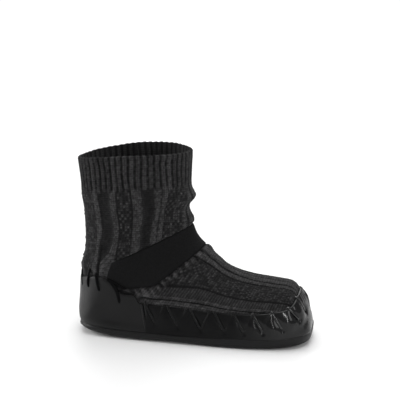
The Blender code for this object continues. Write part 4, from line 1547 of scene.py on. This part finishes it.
class SLIPPER_OT_stage(bpy.types.Operator):
    """Set the floor, the studio light and the camera"""

    bl_idname = "slipper.stage"
    bl_label = "Stage"

    def execute(self, context):
        colours, stage = context.scene.slipper_colours, context.scene.slipper_stage
        select()
        bpy.ops.mesh.primitive_plane_add(size=FLOOR_SIZE)
        floor = bpy.context.object
        floor.name = "floor"
        floor.data.materials.append(floor_material(colours))
        world = bpy.data.worlds.new("studio")
        world.use_nodes = True
        tree = world.node_tree
        seen = add_node(tree, "ShaderNodeLightPath").outputs["Is Camera Ray"]
        strength = maths(tree, "MULTIPLY_ADD", seen, SEEN_WHITE - stage.ambient, stage.ambient)
        tree.nodes["Background"].inputs["Color"].default_value = (1, 1, 1, 1)
        tree.links.new(strength, tree.nodes["Background"].inputs["Strength"])
        context.scene.world = world
        for spec in STUDIO_LIGHTS:
            bpy.ops.object.light_add(type="AREA", location=spec.place)
            light = bpy.context.object
            light.name = spec.name
            light.data.energy = getattr(stage, spec.power)
            light.data.shape = "RECTANGLE"
            light.data.size, light.data.size_y = spec.width, spec.length
            turn_towards(light, AIM - Vector(spec.place))
        bpy.ops.object.camera_add(location=CAMERA_PLACE)
        camera = bpy.context.object
        camera.name = "camera"
        camera.data.lens = stage.lens
        camera.data.sensor_width = SENSOR_WIDTH_MM
        turn, tip = math.radians(CAMERA_TURN_DEGREES), math.radians(CAMERA_TIP_DEGREES)
        level = math.cos(tip)
        turn_towards(camera, Vector((-math.sin(turn) * level, math.cos(turn) * level, -math.sin(tip))))
        context.scene.camera = camera
        context.scene.view_settings.view_transform = "Standard"
        select()
        return {"FINISHED"}


class SLIPPER_PT_panel(bpy.types.Panel):
    """The slipper sock's sizes, colours and pieces"""

    bl_idname = "SLIPPER_PT_panel"
    bl_label = "Slipper sock"
    bl_space_type = "VIEW_3D"
    bl_region_type = "UI"
    bl_category = "Slipper sock"

    def draw(self, context):
        for label, group in (("Knit", "slipper_knit"), ("Leather", "slipper_leather"),
                             ("Colours", "slipper_colours"), ("Stage", "slipper_stage")):
            box = self.layout.box()
            box.label(text=label)
            values = getattr(context.scene, group)
            for key in values.__annotations__:
                box.prop(values, key)
        for operator in OPERATORS:
            self.layout.operator(operator.bl_idname)


GROUPS = (("slipper_knit", KnitSizes), ("slipper_leather", LeatherSizes), ("slipper_colours", ShoeColours),
          ("slipper_stage", StageSizes))
OPERATORS = (SLIPPER_OT_knit, SLIPPER_OT_band, SLIPPER_OT_toe_wrap, SLIPPER_OT_heel, SLIPPER_OT_sole,
             SLIPPER_OT_stage)


def register():
    for name, group in GROUPS:
        bpy.utils.register_class(group)
        setattr(bpy.types.Scene, name, PointerProperty(type=group))
    for item in OPERATORS + (SLIPPER_PT_panel,):
        bpy.utils.register_class(item)


def unregister():
    for item in reversed(OPERATORS + (SLIPPER_PT_panel,)):
        bpy.utils.unregister_class(item)
    for name, group in reversed(GROUPS):
        delattr(bpy.types.Scene, name)
        bpy.utils.unregister_class(group)


def main():
    register()
    for operator in OPERATORS:
        getattr(bpy.ops.slipper, operator.bl_idname.split(".")[1])()


if __name__ == "__main__":
    main()
